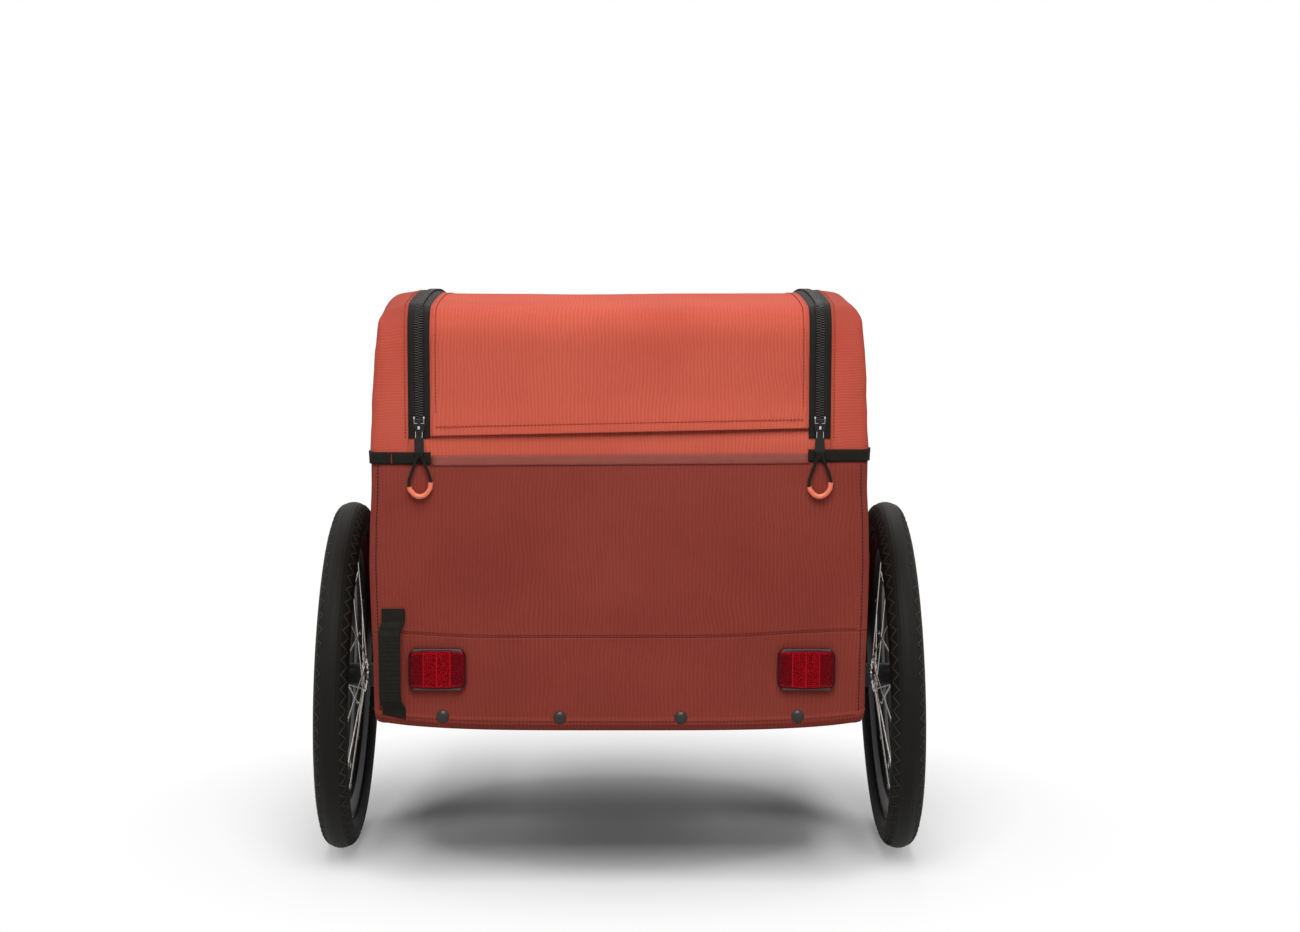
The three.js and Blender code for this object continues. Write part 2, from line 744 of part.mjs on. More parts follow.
// One spoke runs from its flange hole to a nipple just inside the rim; those that lean forwards lie outside
// their flange and those that lean backwards inside it, so that they pass each other
function spokeSolid(index) {
  const rimAngle = (2 * Math.PI * (index + 0.5)) / spokeCount;
  const flangeSide = index % 2 === 0 ? 1 : -1;
  const lean = Math.floor(index / 2) % 2 === 0 ? 1 : -1;
  const hubAngle = rimAngle + lean * THREE.MathUtils.degToRad(spokeCrossDegrees);
  const rimNoseRadius = (rimSeatRadius - rimDepth) * Math.cos(Math.PI / wheelFacets) - seatGap;
  const at = (along, radius, angle) =>
    new THREE.Vector3(flangeSide * along, radius * Math.sin(angle), radius * Math.cos(angle));
  const inner = at(flangeOffset + lean * spokeFlangeShift, spokeHoleRadius, hubAngle);
  const heading = at(nippleRimOffset, rimNoseRadius, rimAngle).sub(inner);
  const length = heading.length();
  const spoke = turned([
    [0, 0], [0, spokeRadius], [length - nippleLength, spokeRadius], [length - nippleLength, nippleRadius],
    [length, nippleRadius], [length, 0],
  ], spokeSides);
  const turn = new THREE.Quaternion().setFromUnitVectors(unitX, heading.normalize());
  return toSolid(spoke.applyQuaternion(turn).translate(inner.x, inner.y, inner.z));
}

function hubWithSpokes() {
  let hub = toSolid(turned(hubProfile(), hubFacets));
  for (let i = 0; i < spokeCount; i += 1) hub = hub.add(spokeSolid(i));
  return toGeometry(hub);
}

const bearingProfile = [
  [hubHalfLength - bearingWidth, shaftHole], [hubHalfLength - bearingWidth, bearingOuterRadius],
  [hubHalfLength, bearingOuterRadius], [hubHalfLength, shaftHole], [hubHalfLength - bearingWidth, shaftHole],
];

const axleHeadStart = hubHalfLength + seatGap;
const axleHeadEnd = axleHeadStart + axleHeadLength;
const buttonHole = buttonRadius - buttonRound + axleClearance;

function axleProfile(innerEnd) {
  const shoulderStart = -hubHalfLength - seatGap;
  return [
    [innerEnd, 0], [innerEnd, axleRadius], [shoulderStart - axleShoulderLength, axleRadius],
    [shoulderStart - axleShoulderLength, axleShoulderRadius], [shoulderStart, axleShoulderRadius],
    [shoulderStart, axleRadius], [axleHeadStart, axleRadius], [axleHeadStart, axleHeadRadius],
    [axleHeadEnd, axleHeadRadius], [axleHeadEnd, buttonHole],
    [axleHeadEnd - buttonPocketDepth, buttonHole], [axleHeadEnd - buttonPocketDepth, 0],
  ];
}

function buttonProfile() {
  const stem = buttonRadius - buttonRound;
  const capStart = axleHeadEnd + buttonHeight;
  return [
    [axleHeadEnd - buttonStem, 0], [axleHeadEnd - buttonStem, stem], [capStart, stem],
    [capStart, buttonRadius], [capStart + buttonRound, buttonRadius],
    [capStart + 2 * buttonRound, stem], [capStart + 2 * buttonRound, 0],
  ];
}

const mirror = new THREE.Matrix4().makeScale(-1, 1, 1);
const handed = (geometry, side) => (side < 0 ? geometry.clone().applyMatrix4(mirror) : geometry.clone());
const wheelTilt = (side) => new THREE.Matrix4().makeRotationY(-side * camber);

// The wheels stand on the flat of their lowest facet, so their height follows from the tilted tyre
const tyreGeometry = turned(tyreProfile(), wheelFacets);
const tiltedTyre = tyreGeometry.clone().applyMatrix4(wheelTilt(1));
tiltedTyre.computeBoundingBox();
const axleZ = -tiltedTyre.boundingBox.min.z;

piece('axle_tube', crossTube(axleTubeRadius, 0, axleZ), finishes.frameTube);

const rimGeometry = turned(rimProfile(), wheelFacets);
const hubGeometry = hubWithSpokes();
const bearingGeometry = turned(bearingProfile, hubFacets);
const railFaceAlong = railOuterX - wheelX;

for (const [name, side] of [['left', -1], ['right', 1]]) {
  const wheel = new THREE.Group();
  wheel.position.set(side * wheelX, 0, axleZ);
  wheel.rotation.y = -side * camber;
  trailer.add(wheel);
  const place = (node, geometry, material) => piece(`${name}_${node}`, handed(geometry, side), material, wheel);
  place('tyre', tyreGeometry, finishes.rubber);
  place('rim', rimGeometry, finishes.rim);
  place('hub', hubGeometry, finishes.steel);
  place('outer_bearing', bearingGeometry, finishes.steel);
  place('inner_bearing', bearingGeometry.clone().applyMatrix4(mirror), finishes.steel);
  place('axle', turned(axleProfile(railFaceAlong + axleInnerSpace), hubFacets), finishes.steel);
  place('release_button', turned(buttonProfile(), hubFacets), finishes.plastic);
}

// Axle sockets are bolted to the rails; their feet are trimmed to the rail's upright face
for (const [name, side] of [['left', -1], ['right', 1]]) {
  const mouth = -hubHalfLength - 2 * seatGap - axleShoulderLength;
  const past = railFaceAlong - socketPlateThickness;
  const barrel = toSolid(turned([
    [past, shaftHole], [past, socketRadius], [mouth, socketRadius], [mouth, shaftHole], [past, shaftHole],
  ], hubFacets));
  const plate = toSolid(alongX(roundedRectangle(socketPlateWidth, socketPlateHeight, socketPlateCorner),
    past, railFaceAlong + socketPlateThickness));
  const bore = toSolid(turned([[past * 2, 0], [past * 2, shaftHole], [mouth, shaftHole], [mouth, 0]], hubFacets));
  const socket = toGeometry(barrel.add(plate.subtract(bore)));
  const inPlace = handed(socket, side).applyMatrix4(wheelTilt(side)).translate(side * wheelX, 0, axleZ);
  piece(`${name}_axle_socket`, toSolid(inPlace).intersect(slab({
    x: betweenX(side * (railOuterX + seatGap), side * cutReach), z: [0, sideHemZ - seatGap],
  })), finishes.plastic);
}

// Reflective strip across the rear and the webbing tabs sewn over its ends, wrapped round the corners
const rearSkinY = rearFaceY - seatGap;
piece('reflective_strip', block({
  x: [-stripHalfLength, stripHalfLength], y: [rearSkinY - stripThickness, rearSkinY],
  z: [stripBottomZ, stripBottomZ + stripHeight],
}), finishes.piping);

const tabShell = tubForm(-seatGap - tabThickness).subtract(tubForm(-seatGap));
for (const [name, side, bottom] of [['left', -1, leftTabBottomZ], ['right', 1, rightTabBottomZ]]) {
  piece(`${name}_webbing_tab`, tabShell.intersect(slab({
    x: betweenX(side * (stripHalfLength + seatGap), side * cutReach),
    y: [-cutReach, rearSeamY], z: [bottom, bottom + tabHeight],
  })), finishes.webbing);
}

// Flag pole sleeve: a strip of webbing sewn down at both ends that stands proud between them
function flagSleeveOutline() {
  const low = flagSleeveBottomZ;
  const high = flagSleeveTopZ;
  const route = (lift) => [
    [rearSkinY - lift, low], [rearSkinY - lift, low + flagSleeveTab / 2],
    [rearSkinY - flagSleeveProud / 2 - lift, low + flagSleeveTab],
    [rearSkinY - flagSleeveProud - lift, low + flagSleeveTab * 1.5],
    [rearSkinY - flagSleeveProud - lift, high - flagSleeveTab * 1.5],
    [rearSkinY - flagSleeveProud / 2 - lift, high - flagSleeveTab],
    [rearSkinY - lift, high - flagSleeveTab / 2], [rearSkinY - lift, high],
  ];
  const outline = [...route(flagSleeveThickness), ...route(0).reverse()];
  return new THREE.Shape(outline.map(([y, z]) => new THREE.Vector2(y, z)));
}

const flagSleeve = toSolid(alongX(flagSleeveOutline(), flagSleeveX - flagSleeveWidth / 2,
  flagSleeveX + flagSleeveWidth / 2));
piece('flag_sleeve', flagSleeve.subtract(tubForm(-seatGap)), finishes.webbing);

// Reflectors: bowed top and bottom, bevelled front, held flat on the panel
function reflectorOutline() {
  const half = reflectorWidth / 2 - reflectorCorner - reflectorBevel;
  const top = reflectorHeight / 2 - reflectorBevel;
  const shape = new THREE.Shape();
  shape.moveTo(-half, -top);
  shape.quadraticCurveTo(0, -top - 2 * reflectorBow, half, -top);
  shape.absarc(half, -top + reflectorCorner, reflectorCorner, -Math.PI / 2, 0);
  shape.absarc(half, top - reflectorCorner, reflectorCorner, 0, Math.PI / 2);
  shape.quadraticCurveTo(0, top + 2 * reflectorBow, -half, top);
  shape.absarc(-half, top - reflectorCorner, reflectorCorner, Math.PI / 2, Math.PI);
  shape.absarc(-half, -top + reflectorCorner, reflectorCorner, Math.PI, Math.PI * 1.5);
  shape.closePath();
  return shape;
}

for (const [name, reflectorX] of [['left', leftReflectorX], ['right', rightReflectorX]]) {
  const reflector = new THREE.ExtrudeGeometry(reflectorOutline(), {
    depth: reflectorThickness - reflectorBevel, bevelThickness: reflectorBevel, bevelSize: reflectorBevel,
    bevelSegments: 1, curveSegments: arcSegments,
  }).applyMatrix4(new THREE.Matrix4().makeBasis(unitX, unitZ, unitY.clone().negate()));
  const body = toSolid(reflector.translate(reflectorX, rearSkinY, reflectorZ));
  piece(`${name}_reflector`, body.intersect(slab({ y: [-cutReach, rearSkinY] })), finishes.lens);
}

// Zip pulls: slider over the coil, puller hung in the slider's bridge, and a cord loop in a sleeve
const coilFaceY = rearFaceY - coilProud;
const sliderBackY = coilFaceY - seatGap;
const sliderFrontY = sliderBackY - sliderPlate;
const pullerTurnRadius = (pullerThickness / 2) * Math.SQRT2;
const pullY = sliderFrontY - seatGap - pullerTurnRadius;
const pullZ = hemZ + sliderRise + sliderHeight / 2;

function sliderSolid() {
  const plate = alongY(roundedRectangle(sliderWidth, sliderHeight, sliderWidth / 4), sliderFrontY, sliderBackY)
    .translate(0, 0, pullZ);
  const archBottom = pullZ - pullerThickness;
  const archTop = archBottom + bridgeInnerHeight;
  const archFront = sliderFrontY - 2 * (pullerTurnRadius + seatGap);
  const outer = new THREE.Shape([
    [sliderFrontY + sliderPlate / 2, archTop + bridgeBar * 2], [archFront - bridgeBar, archTop],
    [archFront - bridgeBar, archBottom - bridgeBar / 2], [sliderFrontY + sliderPlate / 2, archBottom - bridgeBar],
  ].map(([y, z]) => new THREE.Vector2(y, z)));
  outer.holes.push(new THREE.Path([
    [sliderFrontY, archBottom], [archFront, archBottom], [archFront, archTop - bridgeBar],
    [sliderFrontY, archTop],
  ].map(([y, z]) => new THREE.Vector2(y, z))));
  return toSolid(plate).add(toSolid(alongX(outer, -bridgeWidth / 2, bridgeWidth / 2)));
}

function pullerOutline() {
  const top = pullerThickness / 2;
  const tail = top - pullerLength;
  const waist = top - pullerThickness - pullerEyeHoleHeight - pullerThickness;
  const shape = new THREE.Shape([
    [-pullerEyeWidth / 2, top], [-pullerEyeWidth / 2, waist], [-pullerTailWidth / 2, waist - pullerThickness * 2],
    [-pullerTailWidth / 2, tail], [pullerTailWidth / 2, tail], [pullerTailWidth / 2, waist - pullerThickness * 2],
    [pullerEyeWidth / 2, waist], [pullerEyeWidth / 2, top],
  ].map(([x, z]) => new THREE.Vector2(x, z)));
  const hole = pullerEyeHoleWidth / 2;
  shape.holes.push(new THREE.Path([
    [-hole, -top], [hole, -top], [hole, -top - pullerEyeHoleHeight], [-hole, -top - pullerEyeHoleHeight],
  ].map(([x, z]) => new THREE.Vector2(x, z))));
  return shape;
}

// The cord's route below the puller, in its own plane: across and up
const cordPoints = [
  [-2.4, 0], [-3.6, -8], [-7.2, -19], [-11.4, -31], [-14, -42], [-12.4, -51], [-6.4, -58], [1, -60],
  [8.4, -57], [13.6, -50], [15, -41], [12.6, -30], [7.8, -18], [3.8, -8], [2.4, 0],
];
const sleeveStartShare = 0.35;
const sleeveEndShare = 0.69;

function cordRoute() {
  const startZ = pullerThickness / 2 - pullerLength - seatGap;
  const spline = new THREE.CatmullRomCurve3(
    cordPoints.map(([x, z]) => new THREE.Vector3(x, 0, startZ + z)), false, 'centripetal');
  const points = [];
  const tangents = [];
  for (let i = 0; i <= pullCordSteps; i += 1) {
    const share = i / pullCordSteps;
    points.push(spline.getPointAt(share));
    const atEnd = i === 0 || i === pullCordSteps;
    tangents.push(atEnd ? unitZ.clone().multiplyScalar(i === 0 ? -1 : 1) : spline.getTangentAt(share));
  }
  return new StationCurve(points, tangents);
}

for (const [name, side] of [['left', -1], ['right', 1]]) {
  const pull = new THREE.Group();
  pull.position.set(side * zipX, pullY, pullZ);
  trailer.add(pull);
  const slider = toGeometry(sliderSolid()).translate(0, -pullY, -pullZ);
  piece(`${name}_zip_slider`, slider, finishes.zipMetal, pull);
  piece(`${name}_zip_puller`, alongY(pullerOutline(), -pullerThickness / 2, pullerThickness / 2),
    finishes.pullGrey, pull);
  const route = cordRoute();
  const first = Math.round(sleeveStartShare * pullCordSteps);
  const last = Math.round(sleeveEndShare * pullCordSteps);
  piece(`${name}_pull_cord`, swept(new THREE.Shape(polygon(pullCordRadius, pullCordSides)), route),
    finishes.cord, pull);
  const sleeve = tubeOutline(sleeveRadius, sleeveRadius - sleeveBoreRadius, pullCordSides);
  piece(`${name}_pull_sleeve`, swept(sleeve, route.slice(first, last)), finishes.sleeve, pull);
}

// Towing arm in its receiver under the front cross tube, clamped by a hand knob
const armZ = crossTubeZ - crossTubeRadius - seatGap - receiverHalf;
const armBore = armRadius + seatGap + armRadius * (1 - Math.cos(Math.PI / tubeSides));
const knobHole = knobStemRadius + axleClearance;
const roundBar = (radius, sides) => new THREE.Shape(polygon(radius, sides));

const receiverOutline = roundedRectangle(2 * receiverHalf, 2 * receiverHalf, receiverCorner);
receiverOutline.holes.push(new THREE.Path(polygon(armBore, hubFacets)));
const receiver = toSolid(alongY(receiverOutline, receiverRearY, receiverRearY + receiverLength));
const knobPassage = toSolid(alongX(roundBar(knobHole, tubeSides), -cutReach, 0).translate(0, knobY, 0));
piece('arm_receiver', toGeometry(receiver.subtract(knobPassage)).translate(armX, 0, armZ), finishes.plastic);

function knobSolid() {
  const headStart = -receiverHalf - knobStandOff;
  const stem = alongX(roundBar(knobStemRadius, tubeSides), headStart - knobHeadLength / 2, -armRadius - seatGap);
  const points = [];
  const steps = knobLobes * 6;
  for (let i = 0; i < steps; i += 1) {
    const angle = (2 * Math.PI * i) / steps;
    const radius = knobHeadRadius - knobLobeDepth / 2 + (knobLobeDepth / 2) * Math.cos(knobLobes * angle);
    points.push(new THREE.Vector2(radius * Math.cos(angle), radius * Math.sin(angle)));
  }
  const head = alongX(new THREE.Shape(points), headStart - knobHeadLength, headStart);
  return toSolid(stem).add(toSolid(head));
}

const knob = piece('arm_knob', knobSolid(), finishes.plastic);
knob.position.set(armX, knobY, armZ);

const armCorner = (x, y, z) => new THREE.Vector3(x, y, z);
const forkRearY = armEyeY - forkDepth;
const armRoute = bentRoute([
  armCorner(armX, armInsertY, armZ), armCorner(armX, armStraightY, armZ),
  armCorner(armTipX, armRiseY, armTipZ), armCorner(armTipX, forkRearY + forkEar, armTipZ),
], [armBend, armBend / 2], bendSteps);
const armTube = toSolid(swept(tubeOutline(armRadius, tubeWall), armRoute));

function forkSolid() {
  const slotHalf = headEyeHeight / 2 + seatGap;
  const half = slotHalf + forkEar;
  const ear = new THREE.Shape();
  ear.moveTo(-forkWidth / 2, -forkDepth);
  ear.lineTo(forkWidth / 2, -forkDepth);
  ear.lineTo(forkWidth / 2, 0);
  ear.absarc(0, 0, forkWidth / 2, 0, Math.PI);
  ear.closePath();
  const whole = toSolid(alongZ(ear, -half, half));
  const slot = slab({
    y: [-headEyeRadius - seatGap * 2, cutReach], z: [-slotHalf, slotHalf],
  });
  const pinHole = toSolid(alongZ(roundBar(kingpinRadius + axleClearance, hubFacets), -cutReach, cutReach));
  return whole.subtract(slot).subtract(pinHole);
}

const fork = toSolid(toGeometry(forkSolid()).translate(armTipX, armEyeY, armTipZ));
const armInside = toSolid(swept(roundBar(armRadius - tubeWall, tubeSides), armRoute.slice(0,
  armRoute.points.length - 2)));
piece('towing_arm', armTube.add(fork).subtract(armInside), finishes.frameTube);

// Coupling head: an eye and kingpin in the fork, and a cup that drops over the bicycle's hitch ball
function couplingSolid() {
  const half = headEyeHeight / 2;
  const pinHalf = half + forkEar + 2 * seatGap;
  const eye = toSolid(alongZ(roundBar(headEyeRadius, hubFacets), -half, half));
  const pin = toSolid(alongZ(roundBar(kingpinRadius, hubFacets), -pinHalf - kingpinHeadHeight,
    pinHalf + kingpinHeadHeight));
  const pinHeads = toSolid(alongZ(roundBar(kingpinHeadRadius, hubFacets), pinHalf, pinHalf + kingpinHeadHeight))
    .add(toSolid(alongZ(roundBar(kingpinHeadRadius, hubFacets), -pinHalf - kingpinHeadHeight, -pinHalf)));
  const neck = slab({ x: [-headNeckWidth / 2, headNeckWidth / 2], y: [0, cupDistance], z: [-half, half] });
  const cupTop = half + cupRoof / 2;
  const atCup = (geometry) => toSolid(geometry.translate(0, cupDistance, 0));
  const cup = atCup(alongZ(roundBar(cupRadius, hubFacets), cupTop - cupHeight, cupTop));
  const bore = atCup(alongZ(roundBar(cupBoreRadius, hubFacets), -cutReach, cupTop - cupRoof));
  return eye.add(pin).add(pinHeads).add(neck).add(cup).subtract(bore);
}

const couplingHead = piece('coupling_head', couplingSolid(), finishes.plastic);
couplingHead.position.set(armTipX, armEyeY, armTipZ);

// Parking stand: a clamp on the arm, a leg on its pin and a rubber foot on the ground
const legPivotZ = armZ - standDrop;
const bracketOuter = armRadius + bracketWall;

function bracketSolid() {
  const half = bracketLength / 2;
  const earInner = legEyeWidth / 2 + seatGap;
  const earOuter = earInner + bracketEarThickness;
  const ring = toSolid(alongY(roundBar(bracketOuter, hubFacets), -half, half));
  const ears = slab({ x: [-earOuter, earOuter], y: [-half / 2, half / 2], z: [-standDrop - legEyeRadius, 0] })
    .subtract(slab({ x: [-earInner, earInner], z: [-cutReach, -bracketOuter] }));
  const pin = toSolid(alongX(roundBar(bracketPinRadius, tubeSides), -earOuter, earOuter)
    .translate(0, 0, -standDrop));
  const bore = toSolid(alongY(roundBar(armBore, hubFacets), -cutReach, cutReach));
  return ring.add(ears).add(pin).subtract(bore);
}

const bracket = piece('stand_bracket', bracketSolid(), finishes.plastic);
bracket.position.set(armX, standY, armZ);

const legLength = (legPivotZ - footSole) / Math.cos(standLean);
const bracketEarReach = Math.hypot(bracketLength / 4, legEyeRadius);
const legTubeTop = -bracketEarReach - 2 * seatGap;

function legSolid() {
  const eye = toSolid(alongX(roundBar(legEyeRadius, hubFacets), -legEyeWidth / 2, legEyeWidth / 2));
  const tube = toSolid(alongZ(roundBar(legRadius, tubeSides), -legLength, legTubeTop));
  const tang = slab({
    x: [-legEyeWidth / 2, legEyeWidth / 2], y: [-legEyeWidth / 2, legEyeWidth / 2],
    z: [legTubeTop - legEyeRadius, 0],
  });
  const eyeHole = toSolid(alongX(roundBar(bracketPinRadius + axleClearance, tubeSides), -cutReach, cutReach));
  return eye.add(tang).add(tube).subtract(eyeHole);
}

const leg = piece('stand_leg', legSolid(), finishes.steel);
leg.position.set(armX, standY, legPivotZ);
leg.rotation.x = standLean;

const footY = standY + (legPivotZ - footSole) * Math.tan(standLean);
const footTurned = turned([
  [0, 0], [0, footRadius], [footSole, footRadius], [footHeight, footTopRadius], [footHeight, 0],
], hubFacets).rotateY(-Math.PI / 2);
const legSpace = toSolid(alongZ(roundBar(legRadius + seatGap * 2, tubeSides), -legLength - seatGap, 0)
  .applyMatrix4(new THREE.Matrix4().makeRotationX(standLean)).translate(armX, standY, legPivotZ));
piece('stand_foot', toSolid(footTurned.translate(armX, footY, 0)).subtract(legSpace), finishes.rubber);

// The origin is on the ground, under the middle of the whole trailer
trailer.updateMatrixWorld(true);
const extent = new THREE.Box3().setFromObject(trailer, true);
const middle = extent.getCenter(new THREE.Vector3());
trailer.position.set(-middle.x, -middle.y, -extent.min.z);
trailer.updateMatrixWorld(true);

export default trailer;
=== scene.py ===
# %% [markdown]
# # A sewn cargo trailer with zipped roof and spoked wheels
#
# The trailer is a cloth box on a tube frame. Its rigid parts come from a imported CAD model, which is
# loaded as a fixed frame. This lesson dresses that frame: it models the cloth, zips, cords, tyres and
# spokes that the CAD model only holds the space for, and gives every part its finish. Everything is in
# metres, with X to the trailer's right, Y forwards and Z up.

# %% Load the frame
import json
from math import atan2, copysign, cos, dist, pi, radians, sin, sqrt, tan

import bmesh
import bpy
from mathutils import Matrix, Vector, noise

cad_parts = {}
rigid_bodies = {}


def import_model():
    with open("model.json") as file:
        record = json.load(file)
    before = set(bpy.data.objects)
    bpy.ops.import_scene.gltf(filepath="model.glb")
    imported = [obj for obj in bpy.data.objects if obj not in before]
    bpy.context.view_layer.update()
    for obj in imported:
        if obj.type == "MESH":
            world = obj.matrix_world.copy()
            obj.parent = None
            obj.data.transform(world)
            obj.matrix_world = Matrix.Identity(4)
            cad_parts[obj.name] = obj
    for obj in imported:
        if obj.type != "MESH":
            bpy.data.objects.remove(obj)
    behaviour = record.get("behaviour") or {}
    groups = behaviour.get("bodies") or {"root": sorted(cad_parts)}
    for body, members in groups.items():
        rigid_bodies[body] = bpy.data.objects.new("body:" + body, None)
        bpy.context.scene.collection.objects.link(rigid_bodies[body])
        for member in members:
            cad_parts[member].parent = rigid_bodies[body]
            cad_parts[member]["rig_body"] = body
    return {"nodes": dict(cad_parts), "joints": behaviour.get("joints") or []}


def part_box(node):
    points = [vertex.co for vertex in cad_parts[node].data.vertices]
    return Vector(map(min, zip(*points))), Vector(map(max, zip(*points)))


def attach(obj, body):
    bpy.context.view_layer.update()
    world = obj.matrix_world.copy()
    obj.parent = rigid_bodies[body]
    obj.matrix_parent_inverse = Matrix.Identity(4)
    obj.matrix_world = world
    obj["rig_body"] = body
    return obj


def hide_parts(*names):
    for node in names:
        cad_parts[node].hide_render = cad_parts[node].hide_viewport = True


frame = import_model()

scene = bpy.context.scene
nodes = frame["nodes"]
joints = {joint["name"]: joint for joint in frame["joints"]}
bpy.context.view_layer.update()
millimetre = 0.001
sides = (("left", -1), ("right", 1))

# %% [markdown]
# ## Camera
#
# A photograph is matched by a camera of the same place, tilt and lens. The picture here is 1300 by 932
# pixels, its focal length is 2450 pixels and the lens axis meets it a little left of the middle. Blender
# wants a focal length for a 36 mm wide sensor, and a shift as a share of the picture's width.

# %% Set the camera
picture_width, focal_pixels, axis_pixel = 1300, 2450, 619.5
sensor_width = 36
camera_back, camera_height, camera_tilt = 3.49, 0.99, 0.1245
axle_y = joints["left_wheel_spin"]["pos_m"][1]

camera = bpy.data.objects.new("camera", bpy.data.cameras.new("camera"))
camera.data.sensor_width = sensor_width
camera.data.lens = focal_pixels * sensor_width / picture_width
camera.data.shift_x = (picture_width / 2 - axis_pixel) / picture_width
camera.location = (0, axle_y - camera_back, camera_height)
camera.rotation_euler = (pi / 2 - camera_tilt, 0, 0)
scene.collection.objects.link(camera)
scene.camera = camera
print("lens", round(camera.data.lens, 2), "shift", round(camera.data.shift_x, 4))

# %% [markdown]
# ## Shader maths as plain Python
#
# A material is a tree of nodes. Sums are easier to read as expressions than as boxes and wires, so one
# small class wraps a socket and lets +, -, *, /, > and < add the Math nodes. Every other node comes from
# one method that takes a node's type, its settings and the values or links of its sockets. Colours are
# given as the eye sees them, from 0 to 255, and turned into light where they meet a socket.

# %% Wrap sockets and materials
def shade(colour):
    """A colour as the eye sees it, 0 to 255, turned into light."""
    def lit(value):
        value /= 255
        return value / 12.92 if value <= 0.04045 else ((value + 0.055) / 1.055) ** 2.4
    return tuple(lit(value) for value in colour)


class Wire:
    """The output of a node, on which Python's operators add Math nodes."""

    def __init__(self, tree, socket):
        self.tree, self.socket = tree, socket

    def maths(self, operation, second=0.0):
        return self.tree.node("ShaderNodeMath", {"operation": operation}, {0: self, 1: second})

    def __add__(self, other): return self.maths("ADD", other)
    def __sub__(self, other): return self.maths("SUBTRACT", other)
    def __mul__(self, other): return self.maths("MULTIPLY", other)
    def __truediv__(self, other): return self.maths("DIVIDE", other)
    def __gt__(self, other): return self.maths("GREATER_THAN", other)
    def __lt__(self, other): return self.maths("LESS_THAN", other)
    def sine(self): return self.maths("SINE")
    def size(self): return self.maths("ABSOLUTE")
    def fraction(self): return self.maths("FRACT")
    def ribs(self, pitch): return (self / pitch * pi).sine().size()


class Tree:
    """The nodes of a material or of the world."""

    def __init__(self, holder):
        holder.use_nodes = True
        self.tree = holder.node_tree

    def feed(self, socket, value, node=None):
        target = (node or self.shader).inputs[socket]
        if isinstance(value, Wire):
            self.tree.links.new(value.socket, target)
        elif isinstance(value, tuple) and target.type == "RGBA":
            target.default_value = (*shade(value), 1)
        else:
            target.default_value = value

    def node(self, kind, settings=None, values=None, output=0):
        made = self.tree.nodes.new(kind)
        for setting, value in (settings or {}).items():
            setattr(made, setting, value)
        for socket, value in (values or {}).items():
            self.feed(socket, value, made)
        return Wire(self, made.outputs[output])

    def place(self):
        return self.node("ShaderNodeTexCoord", output="Object")

    def axis(self, vector, letter):
        return self.node("ShaderNodeSeparateXYZ", None, {0: vector}, letter)

    def flat_map(self):
        """Where a point lies on the flat cloth, in metres: the map, across and along."""
        cut = self.node("ShaderNodeUVMap", {"uv_map": "cloth"})
        return cut, self.axis(cut, "X"), self.axis(cut, "Y")

    def cloud(self, scale, detail=2.0, roughness=0.5, vector=None):
        return self.node("ShaderNodeTexNoise", None, {
            "Vector": vector or self.place(), "Scale": scale, "Detail": detail, "Roughness": roughness})

    def stretched(self, vector, scale, shift=(0, 0, 0)):
        values = {"Vector": vector, "Location": shift, "Scale": scale}
        return self.node("ShaderNodeMapping", None, values)

    def rise(self, factor, low, high):
        """0 below the low value, 1 above the high one and even between them."""
        made = self.node("ShaderNodeValToRGB", None, {0: factor})
        for stop, place in zip(made.socket.node.color_ramp.elements, (low, high)):
            stop.position = place
        return made

    def blend(self, factor, first, second):
        return self.node("ShaderNodeMix", {"data_type": "RGBA"}, {0: factor, 6: first, 7: second}, 2)

    def bump(self, height, distance, strength, under=None):
        values = {"Height": height, "Distance": distance, "Strength": strength}
        return self.node("ShaderNodeBump", None, {**values, "Normal": under} if under else values)


class Finish(Tree):
    """A material whose constants sit on its shader and whose patterns are wired to it."""

    def __init__(self, name, roughness, gloss, metallic=0.0):
        self.material = bpy.data.materials.new(name)
        super().__init__(self.material)
        self.shader = self.tree.nodes["Principled BSDF"]
        self.feed("Roughness", roughness)
        self.feed("Metallic", metallic)
        self.feed("Specular IOR Level", gloss)

    def paint(self, colour, normal):
        self.feed("Base Color", colour)
        self.feed("Normal", normal)
        return self.material


print("shade((255, 128, 0)) =", [round(value, 3) for value in shade((255, 128, 0))])

# %% [markdown]
# ## Finding places on the sewn body
#
# The cloth body is a box with rounded edges, a domed roof, raised shoulders that slope outwards and a
# front that leans back. It is easier to think of it as a straight box: a point on the straight box is
# first rounded, by pulling it to a fixed distance from an inner box, and then warped by the lean, the
# dome and the shoulder. Cloth, zips and stitches all use these functions, so they stay on one another.

# %% The straight box and its warp
body_half, rear_y, foot_y = 0.330, -0.285, 0.535
hem_z, seam_z, crest_z, roof_edge_z = 0.233, 0.596, 0.803, 0.627
crest_y, roof_radius, front_lean = -0.090, 2.044, radians(12)
edge_radius, roof_edge_radius = 0.016, 0.038
zip_x, tape_width = 0.2635, 0.0145
shoulder_from, shoulder_to, shoulder_rise = 0.240, 0.272, 0.006
fall_from, fall_to, shoulder_fall = 0.262, 0.345, 0.0125
side_blend, top_blend, top_end = 0.05, 0.06, 0.002
seam_hold, zip_hold = (0.004, 0.05), (0.012, 0.05)
fold_rise, fold_end, foot_hold_z = (0.255, 0.292), (0.292, 0.322), 0.30
tub_sag, corner_fold = 0.0012, 0.0016
side_swell, side_crease = 0.0020, 0.0014
roof_swell, roof_sag = 0.0012, 0.0008
roof_sag_rise, roof_sag_end, roof_sag_fall = (0.02, 0.2), 0.5, 0.2
swell_waves, swell_shift, crease_waves = (7, 7, 9), (3.1, 0.7, 5.3), (9, 5, 34)
tub_bias, side_bias = 0.6, 0.4
